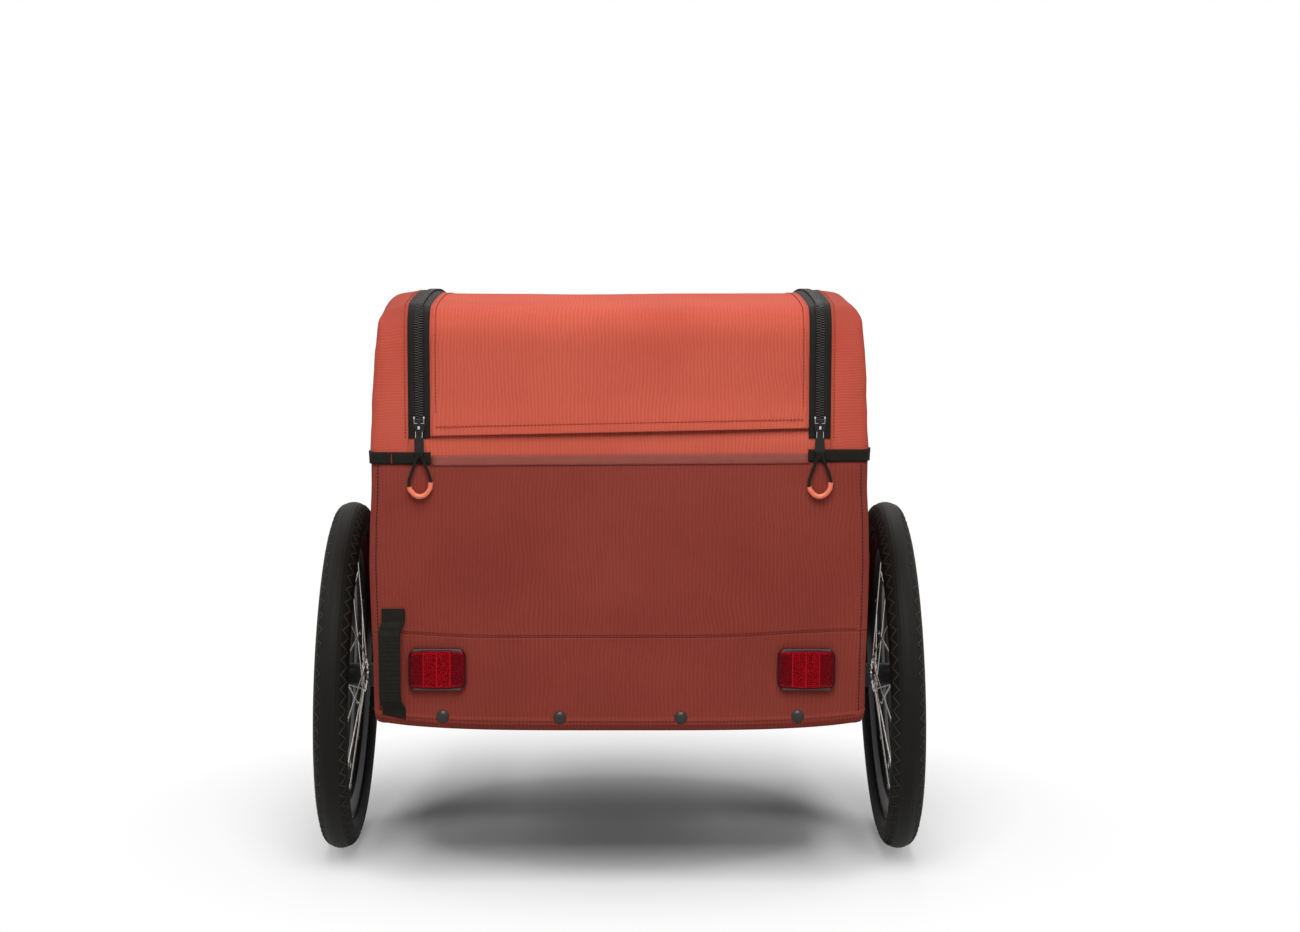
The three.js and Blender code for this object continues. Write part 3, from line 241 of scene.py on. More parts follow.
# Half widths of the body over its height, as fabric over the hoops takes them
side_widths = [
    (0.233, 0.3215), (0.243, 0.3250), (0.262, 0.3290), (0.296, 0.3296), (0.36, 0.331), (0.459, 0.3335),
    (0.513, 0.3320), (0.56, 0.3290), (0.589, 0.3285), (0.613, 0.3295), (0.645, 0.3265), (0.701, 0.3235),
    (0.74, 0.3215), (0.796, 0.3175)]


def smooth(value, low, high):
    share = min(max((value - low) / (high - low), 0), 1)
    return share * share * (3 - 2 * share)


def side_width(z):
    if z <= side_widths[0][0]:
        return side_widths[0][1]
    for (low, first), (high, last) in zip(side_widths, side_widths[1:]):
        if z <= high:
            return first + (last - first) * (z - low) / (high - low)
    return side_widths[-1][1]


def dome(y):
    return crest_z - roof_radius + sqrt(roof_radius ** 2 - (y - crest_y) ** 2)


def rounded(point):
    """Rounds the straight box, the roof's rear edge most. Gives the place and the way out."""
    inner = Vector((
        min(max(point.x, edge_radius - body_half), body_half - edge_radius),
        min(max(point.y, rear_y + edge_radius), foot_y - edge_radius),
        min(point.z, crest_z - edge_radius)))
    direction = (point - inner).normalized()
    spot = inner + direction * edge_radius
    middle_y, middle_z = rear_y + roof_edge_radius, crest_z - roof_edge_radius
    out = Vector((min(spot.y - middle_y, 0), max(spot.z - middle_z, 0)))
    if out.x and out.y and out.length > roof_edge_radius:
        out.normalize()
        spot.y, spot.z = middle_y + out.x * roof_edge_radius, middle_z + out.y * roof_edge_radius
        flat = sqrt(max(1 - direction.x ** 2, 0))
        direction = Vector((direction.x, out.x * flat, out.y * flat))
    return spot, direction


def warped(point):
    """Takes a point from the straight box to the trailer's frame."""
    x, y, z = point
    top = smooth(z, crest_z - top_blend, crest_z - top_end)
    across = smooth(abs(x), body_half - side_blend, body_half)
    x += copysign(1, x) * across * (side_width(z) - body_half)
    height = min(max((z - seam_z) / (crest_z - seam_z), 0), 1)
    lean = tan(front_lean) * (y - rear_y) / (foot_y - rear_y)
    leaning, domed = y, z
    for _ in range(3):
        leaning = y - lean * (domed - hem_z)
        domed = z + (dome(leaning) - crest_z) * height
    rise = (shoulder_rise * smooth(abs(x), shoulder_from, shoulder_to)
            - shoulder_fall * smooth(abs(x), fall_from, fall_to))
    return Vector((x, leaning + axle_y, domed + rise * top))


def waves(point, counts, shift=(0, 0, 0)):
    """Smooth noise, with so many waves a metre along each axis."""
    return noise.noise(Vector([place * count for place, count in zip(point, counts)]) + Vector(shift))


def slack(point):
    """How far the cloth lies out from its plain form: it sags between the places that hold it."""
    x, y, z = point
    swell = waves(point, swell_waves, swell_shift)
    if z < seam_z:
        hold = smooth(seam_z - z, *seam_hold) * smooth(z, hem_z, foot_hold_z)
        fold = smooth(abs(x), *fold_rise) * (1 - smooth(abs(x), *fold_end))
        fold *= y < rear_y + edge_radius
        return -hold * (tub_bias + swell) * (tub_sag + corner_fold * fold)
    hold = smooth(abs(abs(x) - zip_x), *zip_hold) * smooth(z - seam_z, *seam_hold)
    if abs(x) > zip_x:
        crease = waves(point, crease_waves)
        return hold * (side_swell * (side_bias + swell) + side_crease * crease)
    along = smooth(y, *(rear_y + step for step in roof_sag_rise))
    along *= smooth(roof_sag_end - y, 0, roof_sag_fall)
    return hold * (roof_swell * swell - roof_sag * along)


def on_body(x, y, z, proud=0.0):
    """A point of the body's skin, a given distance out from it, and the skin's direction there."""
    point = Vector((x, y, z))
    spot, direction = rounded(point)
    base = warped(spot)
    normal = (warped(spot + direction * millimetre) - base).normalized()
    return base + normal * (proud + slack(point)), normal


print("rear edge of the roof:", [round(value, 4) for value in on_body(0, rear_y, roof_edge_z)[0]])

# %% [markdown]
# ## Finishes
#
# Coated cloth is woven of fine threads, so close up it has a rib every few millimetres, and from afar its
# colour drifts a little. Both are made from the cloth's own flat map, which is in metres, so the ribs
# follow the cloth round every corner. Moulded and metal parts read the object's own coordinates.

# %% Make the finishes
def cloth_finish(name, dark, light, rib_pitch, rib_way="X", painted_top_shade=None):
    """Coated cloth. A third colour, if given, is blended in near the top of the trailer: painted shade,
    darker where the shoulders' tops take less light.
    """
    roughness, rib_depth, weave, top_shade_z, top_shade_run = 0.8, 0.0002, 0.0006, 0.755, 0.035
    finish = Finish(name, roughness, 0.06)
    cut, across, along = finish.flat_map()
    drift = finish.cloud(5.0, 3.0, 0.6)
    wander = finish.cloud(7.0) * 4.6 + finish.cloud(30.0, 1.0) * 0.9
    ribbed = across if rib_way == "X" else along
    rib = ((ribbed / rib_pitch + wander) * (2 * pi)).sine() * 0.5 + 0.5
    faint = finish.cloud(9.0, 1.0)
    thread = across.ribs(weave) * along.ribs(weave)
    slub = finish.cloud(1.0, 2.0, 0.5, finish.stretched(cut, (900, 60, 1)))
    tone = drift * 0.50 + rib * faint * 0.30 + thread * 0.08 + slub * 0.26
    colour = finish.blend(finish.rise(tone, 0.25, 0.80), dark, light)
    # Painted shade: a darker colour blended in near the top of the trailer.
    if painted_top_shade:
        height = finish.axis(finish.place(), "Z")
        colour = finish.blend(finish.rise((height - top_shade_z) / top_shade_run, 0, 1) * 0.8, colour, painted_top_shade)
    finish.feed("Roughness", drift * 0.16 + (roughness - 0.08))
    creases = finish.bump(finish.cloud(11.0, 2.0, 0.45), 0.004, 0.3)
    fine = finish.bump(rib * faint + thread * 0.3 + slub * 0.4, rib_depth, 0.6, creases)
    return finish.paint(colour, fine)


def woven_finish(name, dark, light, pitch, roughness):
    """Tape and braid: short diagonal ribs of thread."""
    finish = Finish(name, roughness, 0.12)
    _, across, along = finish.flat_map()
    thread = (across + along).ribs(pitch) * (across - along).ribs(pitch)
    wear = finish.cloud(90.0, 3.0)
    return finish.paint(
        finish.blend(thread * 0.6 + wear * 0.4, dark, light), finish.bump(thread, 0.0002, 0.9))


def ribbed_finish(name, dark, light, pitch, depth):
    """Heavy webbing: ribs across its length, with a fine thread along it."""
    finish = Finish(name, 0.85, 0.12)
    _, along, across = finish.flat_map()
    rib, cord = along.ribs(pitch), across.ribs(pitch * 0.6)
    wear = finish.cloud(120.0, 3.0, 0.7)
    return finish.paint(
        finish.blend(rib * 0.22 + cord * 0.18 + wear * 0.5 - 0.1, dark, light),
        finish.bump(rib * 0.5 + cord * 0.3, depth, 0.7))


def crown_finish(name, dark, light):
    """The smooth crown of a used tyre: fine lighter streaks that run round the wheel, and lighter spots,
    partly wear and dust and partly painted sheen.
    """
    finish = Finish(name, 0.62, 0.14)
    # Partly wear and dust, partly painted sheen: the lighter streaks and spots on the crown.
    wear_and_sheen_streak = finish.cloud(1.0, 3.0, 0.7, finish.stretched(finish.place(), (700, 14, 14)))
    dust_and_sheen = finish.cloud(60.0, 3.0, 0.7)
    return finish.paint(
        finish.blend(wear_and_sheen_streak * 0.7 + dust_and_sheen * 0.3, dark, light), finish.bump(wear_and_sheen_streak, 0.0003, 0.5))


def solid_finish(name, dark, light, roughness, gloss=0.3, metallic=0.0, grain=240, depth=0.0002):
    """Moulded, cast and coated parts: one colour that drifts, and a fine grain."""
    finish = Finish(name, roughness, gloss, metallic)
    drift = finish.cloud(14.0, 3.0, 0.6)
    pits = finish.cloud(grain, 2.0, 0.6)
    finish.feed("Roughness", drift * 0.14 + (roughness - 0.07) + pits * 0.06)
    return finish.paint(
        finish.blend(drift * 0.7 + pits * 0.3, dark, light), finish.bump(pits, depth, 0.35))


hood_cloth = cloth_finish("hood_cloth", (186, 79, 63), (212, 102, 82), 0.0049)
# The shoulders' third colour is painted shade, darker near the top of the trailer.
shoulder_cloth = cloth_finish("shoulder_cloth", (182, 74, 60), (208, 99, 80), 0.0040, "Y", (162, 72, 60))
tub_cloth = cloth_finish("tub_cloth", (126, 52, 43), (150, 69, 59), 0.0052)
braid = woven_finish("satin_braid", (134, 66, 58), (164, 92, 82), 0.0016, 0.5)
zip_tape = woven_finish("zip_tape", (22, 21, 19), (42, 40, 36), 0.0014, 0.7)
webbing = ribbed_finish("webbing", (14, 13, 11), (46, 44, 38), 0.0030, 0.0005)
crown_rubber = crown_finish("tyre_crown", (6, 6, 5), (29, 27, 24))
zip_coil = solid_finish("zip_coil", (8, 8, 7), (16, 15, 14), 0.5, 0.1)
# Painted highlight: the lighter colour of each coil ridge's outward face.
coil_crown = solid_finish("coil_crown", (46, 44, 41), (74, 71, 66), 0.4)
thread = solid_finish("sewing_thread", (136, 48, 38), (162, 66, 54), 0.8, 0.1)
tub_thread = solid_finish("tub_thread", (84, 34, 29), (112, 48, 42), 0.8, 0.1)
dark_thread = solid_finish("dark_thread", (26, 24, 23), (44, 41, 38), 0.8, 0.1)
cord_braid = solid_finish("cord_braid", (16, 15, 14), (40, 37, 35), 0.85, 0.15, grain=900, depth=0.0004)
sleeve_plastic = solid_finish("sleeve_plastic", (228, 112, 82), (244, 134, 100), 0.3, 0.5)
slider_metal = solid_finish("slider_metal", (26, 25, 24), (48, 46, 44), 0.3, metallic=0.5)
# Bright metal for the painted highlights on the sliders and pulls, standing in for glints.
worn_metal = solid_finish("worn_metal", (188, 186, 180), (220, 218, 212), 0.25, metallic=1.0)
pull_plastic = solid_finish("pull_plastic", (24, 23, 22), (40, 38, 36), 0.4, 0.2)
stud_metal = solid_finish("stud_metal", (30, 29, 27), (52, 50, 46), 0.34, 0.5, metallic=0.5)
rubber = solid_finish("tyre_rubber", (14, 13, 12), (24, 23, 21), 0.7, 0.14, grain=420, depth=0.0003)
tread_rubber = solid_finish(
    "tread_rubber", (38, 35, 30), (76, 70, 60), 0.8, 0.15, grain=160, depth=0.0003)
rim_black = solid_finish("rim_black", (8, 8, 9), (18, 18, 19), 0.4, 0.1)
# Bright metal for the rim's lip: a painted highlight along the rim's edge.
rim_highlight_metal = solid_finish("rim_machined", (170, 171, 173), (204, 205, 207), 0.24, metallic=1.0)
spoke_steel = solid_finish("spoke_steel", (152, 147, 140), (204, 197, 187), 0.26, metallic=1.0)
hub_black = solid_finish("hub_black", (8, 8, 8), (18, 18, 19), 0.35, 0.12)
tube_black = solid_finish("tube_black", (26, 27, 29), (42, 43, 46), 0.42, metallic=0.3)
moulded_black = solid_finish("moulded_black", (20, 20, 21), (36, 36, 37), 0.5)
board_black = solid_finish("board_black", (34, 34, 34), (54, 54, 54), 0.7, grain=160, depth=0.0005)
print("finishes:", len(bpy.data.materials))

# %% [markdown]
# ## From meshes to pieces
#
# Every part is drawn as a bmesh and becomes an object at the origin. Each is attached to the body of the
# frame it rides on, and hides the CAD node it stands for.

# %% Make and declare pieces
def to_object(name, maker, materials, sharp=180):
    """An object from a bmesh, shaded smooth where its faces meet at less than the sharp angle."""
    mesh = bpy.data.meshes.new(name)
    maker.to_mesh(mesh)
    maker.free()
    for material in materials:
        mesh.materials.append(material)
    if sharp:
        mesh.shade_smooth()
    if 0 < sharp < 180:
        mesh.set_sharp_from_angle(angle=radians(sharp))
    made = bpy.data.objects.new(name, mesh)
    scene.collection.objects.link(made)
    return made


def declare(piece, body, slot=None, node=None):
    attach(piece, body)
    if node:
        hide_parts(node)


def frame_matrix(place, along, out, size):
    """Sets a unit shape at a place, with its Y along one direction and its Z out."""
    side = along.cross(out).normalized()
    turn = Matrix((side, along, side.cross(along).normalized())).transposed().to_4x4()
    return Matrix.Translation(place) @ turn @ Matrix.Diagonal((*size, 1))


# %% [markdown]
# ## Cords
#
# A loop of cord hangs from each zip pull, with a coloured sleeve round its lowest part and a knot under
# the pull. The loop is a fixed length of limp cord, so its route is a smooth curve through a few chosen
# points, in millimetres, that ends where it starts. A curve with a bevel is a tube along that route.

# %% Hang the cords
cord_points = [
    (-2.4, 0), (-3.6, -8), (-7.2, -19), (-11.4, -31), (-14, -42), (-12.4, -51), (-6.4, -58), (1, -60),
    (8.4, -57), (13.6, -50), (15, -41), (12.6, -30), (7.8, -18), (3.8, -8), (2.4, 0)]
cord_top_z, knot_drop = 0.6087, 0.005
cord_radius, sleeve_radius, knot_radius, knot_scale, knot_steps = 0.002, 0.0033, 0.0017, 0.0013, 36
sleeve_shares, sleeve_steps = (0.35, 0.69), 12


def curve_tube(name, points, radius, material):
    curve = bpy.data.curves.new(name, "CURVE")
    curve.dimensions = "3D"
    curve.bevel_depth, curve.bevel_resolution, curve.resolution_u = radius, 5, 8
    curve.use_fill_caps = True
    spline = curve.splines.new("BEZIER")
    spline.bezier_points.add(len(points) - 1)
    for knob, point in zip(spline.bezier_points, points):
        knob.co = point
        knob.handle_left_type = knob.handle_right_type = "AUTO"
    curve.materials.append(material)
    tube = bpy.data.objects.new(name, curve)
    scene.collection.objects.link(tube)
    return tube


def path_length(points):
    return sum((b - a).length for a, b in zip(points, points[1:]))


def between(points, start, end, steps):
    """The points of a route from one share of its length to another."""
    total, found = path_length(points), []
    for step in range(steps + 1):
        reach = (start + (end - start) * step / steps) * total
        for a, b in zip(points, points[1:]):
            piece = (b - a).length
            if reach <= piece + 1e-9:
                found.append(a.lerp(b, reach / piece))
                break
            reach -= piece
    return found


def knot_tube(name, centre, material):
    """An overhand knot: a tube along a three-lobed closed line."""
    points = []
    for step in range(knot_steps):
        turn = 2 * pi * step / knot_steps
        points.append(centre + Vector((
            sin(turn) + 2 * sin(2 * turn),
            -1.1 * sin(3 * turn),
            cos(turn) - 2 * cos(2 * turn))) * knot_scale)
    knot = curve_tube(name, points, knot_radius, material)
    knot.data.splines[0].use_cyclic_u = True
    return knot


for side, sign in sides:
    low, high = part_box(f"{side}_pull_cord")
    middle_y = (low.y + high.y) / 2
    route = [Vector((sign * zip_x + x * millimetre, middle_y, cord_top_z + z * millimetre))
             for x, z in cord_points]
    cord = curve_tube(f"{side}_cord_loop", route, cord_radius, cord_braid)
    sleeve_route = between(route, *sleeve_shares, sleeve_steps)
    sleeve = curve_tube(f"{side}_cord_sleeve", sleeve_route, sleeve_radius, sleeve_plastic)
    knot = knot_tube(
        f"{side}_cord_knot", Vector((sign * zip_x, middle_y, cord_top_z - knot_drop)), cord_braid)
    declare(cord, f"{side}_pull", "cord", f"{side}_pull_cord")
    declare(sleeve, f"{side}_pull", "pull_sleeve", f"{side}_pull_sleeve")
    declare(knot, f"{side}_pull")
    print(side, "cord:", round(path_length(route), 4), "m")

# %% [markdown]
# ## Cutting the body out of one skin
#
# The cloth panels of the real body are sewn edge to edge, so they have to match along every seam. They
# are all cut from one skin here: a cube is stretched to the straight box and sliced at every seam and
# every centimetre or so with a bisecting plane. Each panel is then a copy that keeps only its own faces.

# %% Slice the straight box
edge_steps = [edge_radius * (1 - tan(radians(angle))) for angle in (0, 15, 30, 45)]
zip_inner, zip_outer = zip_x - tape_width, zip_x + tape_width
hinge_place = 0.5073
rear_wrap_y, front_wrap_y, side_hem_z = -0.255, 0.505, 0.272
hem_top_z, low_seam_z = 0.2485, 0.360
inner_cut_x, step_x, step_y, step_z = 0.2, 0.011, 0.013, 0.012


def stations(low, high, step, extra):
    """Evenly spaced cuts, with the seams' own places in them and none too close to a seam."""
    count = round((high - low) / step)
    even = [low + (high - low) * place / count for place in range(1, count)]
    clear = {place for place in even if all(abs(place - seam) > step / 3 for seam in extra)}
    return sorted(set(extra) | clear)


skin = bmesh.new()
bmesh.ops.create_cube(skin, size=1)
bmesh.ops.scale(skin, vec=(2 * body_half, foot_y - rear_y, crest_z - hem_z), verts=skin.verts)
bmesh.ops.translate(skin, vec=(0, (foot_y + rear_y) / 2, (crest_z + hem_z) / 2), verts=skin.verts)
seams_x = [inner_cut_x, zip_inner, zip_x, zip_outer] + [body_half - step for step in edge_steps]
seams_y = [rear_wrap_y, front_wrap_y, hinge_place]
seams_y += [rear_y + step for step in edge_steps] + [foot_y - step for step in edge_steps]
seams_z = [hem_top_z, hem_top_z + 0.0012, hem_top_z + 0.003, side_hem_z, seam_z]
seams_z += [roof_edge_z + step for step in (0, 0.0015, 0.0075)]  # the roof hem's fold
seams_z += [low_seam_z + step for step in (-0.0025, -0.0008, 0, 0.0008, 0.0025)]
seams_z += [crest_z - step for step in edge_steps]
cuts = (stations(-body_half, body_half, step_x, [sign * x for x in seams_x for sign in (-1, 1)]),
        stations(rear_y, foot_y, step_y, seams_y),
        stations(hem_z, crest_z, step_z, seams_z))
for axis, places in enumerate(cuts):
    normal = Vector([float(axis == index) for index in range(3)])
    for place in places:
        bmesh.ops.bisect_plane(
            skin, geom=skin.verts[:] + skin.edges[:] + skin.faces[:], dist=1e-7,
            plane_co=normal * place, plane_no=normal)
print("skin:", len(skin.faces), "faces")

# %% [markdown]
# Every face still knows where it lay on the straight box, because the straight places are kept in a
# layer of the mesh before the skin is warped. The flat map is made from them too: metres across and along
# the cloth, as it lay on the cutting table. Solidify then gives each sheet the thickness of its cloth.

# %% Cut a panel
straight = skin.verts.layers.float_vector.new("straight")
for vertex in skin.verts:
    vertex[straight] = vertex.co
cloth_thickness, tape_thickness = 0.0016, 0.0012


def facing(normal):
    if abs(normal.x) > 0.9:
        return "side"
    if abs(normal.y) > 0.9:
        return "rear" if normal.y < 0 else "front"
    return "top" if normal.z > 0 else "floor"


def flat_place(spot, kind, wraps):
    """Where a point of the box lies on flat cloth that wraps on to the sides, and from where."""
    x, y, z = spot
    up = z
    if kind == "top" or kind == "side" and wraps == "top":
        up = crest_z + y - rear_y
    elif kind == "front" and wraps == "top":
        up = crest_z + foot_y - rear_y + crest_z - z
    if kind != "side":
        return Vector((x, up))
    past = {"rear": y - rear_y, "front": foot_y - y, "top": crest_z - z}
    return Vector((copysign(body_half + past[wraps], x), up)) if wraps in past else Vector((y, z))


def panel(name, keep, material, body, slot, node,
          wraps="top", shape=None, thickness=cloth_thickness):
    """A sheet of the skin: keep says of a face's kind and middle whether it belongs."""
    sheet = skin.copy()
    layer = sheet.verts.layers.float_vector["straight"]
    sheet.normal_update()
    bmesh.ops.delete(sheet, context="FACES", geom=[
        face for face in sheet.faces if not keep(facing(face.normal), face.calc_center_median())])
    cut = sheet.loops.layers.uv.new("cloth")
    places = []
    for face in sheet.faces:
        for loop in face.loops:
            loop[cut].uv = flat_place(loop.vert[layer], facing(face.normal), wraps)
            places.append(loop[cut].uv.copy())
    for vertex in sheet.verts:
        spot, proud = vertex[layer].copy(), 0.0
        if shape:
            spot, proud = shape(spot)
        vertex.co = on_body(*spot, proud)[0]
    area = sum(face.calc_area() for face in sheet.faces)
    wide, high = (max(place[i] for place in places) - min(place[i] for place in places) for i in (0, 1))
    size = (round(wide, 4), round(max(high, area / wide), 4))
    sheet.verts.layers.float_vector.remove(layer)
    made = to_object(name, sheet, [material])
    wall = made.modifiers.new("cloth", "SOLIDIFY")
    wall.thickness, wall.offset, wall.use_even_offset = thickness, -1, True
    declare(made, body, slot, node)
    print(name, "flat size", size, "area", round(area, 4))


# %% [markdown]
# ## Tub
#
# The tub is heavy coated cloth. Its rear panel wraps round both corners to the sides, its foot curves up
# towards the corners, and the last 15 mm are folded up into a hem, which stands a thread's width proud. A
# low seam crosses it above the hem. The sides and the front hang between frame and seam.

# %% Cut the tub
hem_lift, hem_proud, hem_fold_z = 0.0128, 0.0011, hem_top_z + 0.0005
seam_groove, groove_half, seam_lip, lip_half = 0.0011, 0.0004, 0.0002, 0.001
bend_right, bend_left, bend_drop = 0.009, 0.006, 0.0015
right_span, left_span = (0.10, 0.32), (0.17, 0.32)


def rear_panel_shape(spot):
    """The hem lifts towards both corners. The low seam rises to them too, more on the right."""
    from_seam = abs(spot.z - low_seam_z)
    proud = hem_proud if spot.z < hem_fold_z else 0.0
    if from_seam < groove_half:
        proud = -seam_groove
    elif from_seam < lip_half:
        proud = seam_lip
    lift = hem_lift * (abs(spot.x) / body_half) ** 4
    bend = bend_right * smooth(spot.x, *right_span) + bend_left * smooth(-spot.x, *left_span) - bend_drop
    spot.z += lift * (1 - smooth(spot.z, hem_z, foot_hold_z)) + bend * (1 - smooth(from_seam, *seam_hold))
    return spot, proud


panel("rear_panel_cloth",
      lambda kind, at: at.z < seam_z and (kind == "rear" or kind == "side" and at.y < rear_wrap_y),
      tub_cloth, "frame", "tub_cloth", "rear_panel",
      wraps="rear", shape=rear_panel_shape)
for side, sign in sides:
    panel(f"{side}_side_cloth",
          lambda kind, at: kind == "side" and at.x * sign > 0 and rear_wrap_y < at.y < front_wrap_y
          and side_hem_z < at.z < seam_z,
          tub_cloth, "frame", "tub_cloth", f"{side}_side_panel",
          wraps="none")
panel("front_panel_cloth",
      lambda kind, at: side_hem_z < at.z < seam_z
      and (kind == "front" or kind == "side" and at.y > front_wrap_y),
      tub_cloth, "frame", "tub_cloth", "front_panel", wraps="front")

# %% [markdown]
# ## Hood
#
# The hood is thinner, brighter cloth. Its two sides run over the shoulders from the rear to the front, a
# band closes the rear under the zips, and the roof panel hangs between the zips from its seam at the
# front. The roof panel's hem at the rear is folded over, so it is thicker and throws a thin shadow.

# %% Cut the hood
hem_fold, fold_proud, gape_ends, gape_more, gape_run = 0.0075, 0.0005, 0.0026, 0.0016, 0.05
askew_left, askew_more, askew_from, askew_to = 0.0035, 0.0108, 0.01, 0.11
band_overlap, band_sunk, band_sink_run = 0.026, 0.0026, 0.012


def roof_hem_shape(spot):
    """The hem stands off the band, most in its middle, and hangs askew: it ends higher at the right."""
    if abs(spot.y - rear_y) > 1e-6:
        return spot, 0.0
    gape = gape_ends + gape_more * (1 - (spot.x / zip_inner) ** 2)
    proud = gape * (1 - smooth(spot.z, roof_edge_z, roof_edge_z + gape_run))
    if spot.z < roof_edge_z + hem_fold - 1e-6:
        proud += fold_proud
    lift = askew_left + askew_more * (spot.x + zip_inner) / (2 * zip_inner)
    spot.z += lift * (1 - smooth(spot.z, roof_edge_z + askew_from, roof_edge_z + askew_to))
    return spot, proud


def band_shape(spot):
    """The band runs on up behind the roof's hem and the lower ends of the tapes."""
    share = max((spot.z - seam_z) / (roof_edge_z - seam_z), 0)
    spot.z += band_overlap * share ** 2
    return spot, -band_sunk * smooth(spot.z, roof_edge_z - band_sink_run, roof_edge_z)


def over_roof(kind, at):
    """Down the rear face to the roof's edge, and forwards over the top to the hinge."""
    return kind == "rear" and at.z > roof_edge_z or kind == "top" and at.y < hinge_place


for side, sign in sides:
    panel(f"{side}_shoulder_cloth",
          lambda kind, at: at.z > seam_z and at.x * sign > 0
          and (kind == "side" or abs(at.x) > zip_outer),
          shoulder_cloth, "frame", "hood_cloth", f"{side}_hood_side")
    for part, low, high, body in (
            ("outer", zip_x, zip_outer, "frame"), ("inner", zip_inner, zip_x, "roof")):
        panel(f"{side}_{part}_tape",
              lambda kind, at: low < at.x * sign < high and over_roof(kind, at),
              zip_tape, body, "zip_tape", f"{side}_zip_{part}_tape",
              thickness=tape_thickness)
panel("rear_band_cloth",
      lambda kind, at: kind == "rear" and abs(at.x) < zip_outer and seam_z < at.z < roof_edge_z,
      hood_cloth, "frame", "hood_cloth", "rear_hood_band", shape=band_shape)
panel("roof_cloth",
      lambda kind, at: abs(at.x) < zip_inner and over_roof(kind, at),
      hood_cloth, "roof", "hood_cloth", "roof_panel", shape=roof_hem_shape)
panel("front_hood_cloth",
      lambda kind, at: abs(at.x) < zip_outer
      and (kind == "front" and at.z > seam_z or kind == "top" and at.y > hinge_place),
      hood_cloth, "frame", "hood_cloth", "front_hood")
skin.free()

# %% [markdown]
# ## Stitches
#
# A sewn seam shows as a row of short threads that sink in at both ends. Each thread is a small block,
# turned along its seam and set on the skin. Hundreds of them are made, so each has only six faces.

# %% Sew along a seam
line_samples = 600


def straight_line(start, end):
    return lambda share: [a + (b - a) * share for a, b in zip(start, end)]


def shaped_row(reach, up, shape):
    """A row across the rear face, moved as the rows of the panel with this shape are."""
    def place(share):
        x = -reach + 2 * reach * share
        return (x, rear_y, shape(Vector((x, rear_y, up)))[0].z)
    return place


def roof_line(x, low_z, to_y=hinge_place - 0.004):
    """Up the rear face and on over the roof, at one place across."""
    rise = crest_z - low_z
    total = rise + to_y - rear_y

    def place(share):
        reach = share * total
        return (x, rear_y, low_z + reach) if reach < rise else (x, rear_y + reach - rise, crest_z)
    return place


def even_frames(line, pitch, proud):
    """Evenly spaced places along a line on the skin, each with its direction and the skin's."""
    samples = [on_body(*line(step / line_samples), proud) for step in range(line_samples + 1)]
    reach, found, due = 0.0, [], 0.0
    for (a, normal), (b, _) in zip(samples, samples[1:]):
        length = (b - a).length
        while length > 0 and due <= reach + length:
            found.append((a.lerp(b, (due - reach) / length), (b - a).normalized(), normal))
            due += pitch
        reach += length
    return found


def sew(name, body, lines, material, proud=0.0002, pitch=0.0048, size=(0.0011, 0.0032, 0.0007)):
    threads = bmesh.new()
    for line in lines:
        for place, along, out in even_frames(line, pitch, proud):
            bmesh.ops.create_cube(threads, size=1, matrix=frame_matrix(place, along, out, size))
    print(name, len(threads.faces) // 6, "stitches")
    declare(to_object(name, threads, [material], sharp=0), body)


signs = (-1, 1)
on_hem, on_roof, on_roof_hem = 0.0014, 0.0006, 0.0036  # how far the threads stand off the skin
low_row, roof_hem_row = low_seam_z + 0.0035, roof_edge_z + 0.0125
corner_low, corner_high, shoulder_low = 0.262, seam_z - 0.004, roof_edge_z + 0.002
beside_zip, inside_zip, roof_low, roof_askew = 0.004, 0.0075, roof_edge_z + 0.017, 0.008
hem_rows, seam_rows = (0.2390, 0.2450), (side_hem_z + 0.008, seam_z - 0.006)
hem_reach, seam_reach, roof_reach, front_reach, corner_x = 0.318, 0.314, 0.240, 0.300, 0.3205
wrap_gap, wrap_low, wrap_high, hood_row, hood_gap = 0.004, 0.276, 0.592, seam_z + 0.005, 0.03
sew("rear_hem_stitches", "frame", [
    shaped_row(hem_reach, up, rear_panel_shape) for up in hem_rows], tub_thread, on_hem)
sew("low_seam_stitches", "frame", [
    shaped_row(seam_reach, low_row, rear_panel_shape)], tub_thread)
sew("tub_side_stitches", "frame", [
    straight_line((sign * body_half, rear_wrap_y + wrap_gap, z),
                  (sign * body_half, front_wrap_y - wrap_gap, z))
    for z in seam_rows for sign in signs], tub_thread)
sew("hood_side_stitches", "frame", [
    straight_line((sign * body_half, rear_y + hood_gap, hood_row),
                  (sign * body_half, foot_y - hood_gap, hood_row)) for sign in signs], thread)
sew("wrap_stitches", "frame", [
    straight_line((sign * body_half, y, wrap_low), (sign * body_half, y, wrap_high))
    for y in (rear_wrap_y - wrap_gap, front_wrap_y + wrap_gap) for sign in signs], tub_thread)
sew("front_stitches", "frame", [
    straight_line((-front_reach, foot_y, z), (front_reach, foot_y, z)) for z in reversed(seam_rows)],
    tub_thread)
sew("front_hood_stitches", "frame", [
    straight_line((-front_reach, foot_y, hood_row), (front_reach, foot_y, hood_row))], thread)
sew("corner_stitches", "frame", [
    straight_line((sign * corner_x, rear_y, corner_low), (sign * corner_x, rear_y, corner_high))
    for sign in signs], dark_thread)
sew("shoulder_stitches", "frame", [
    roof_line(sign * (zip_outer + beside_zip), shoulder_low) for sign in signs], thread)
sew("roof_stitches", "roof", [
    roof_line(sign * (zip_inner - inside_zip), roof_low + roof_askew * (sign > 0)) for sign in signs],
    thread, on_roof)
sew("roof_hem_stitches", "roof", [
    shaped_row(roof_reach, roof_hem_row, roof_hem_shape)], thread, on_roof_hem)
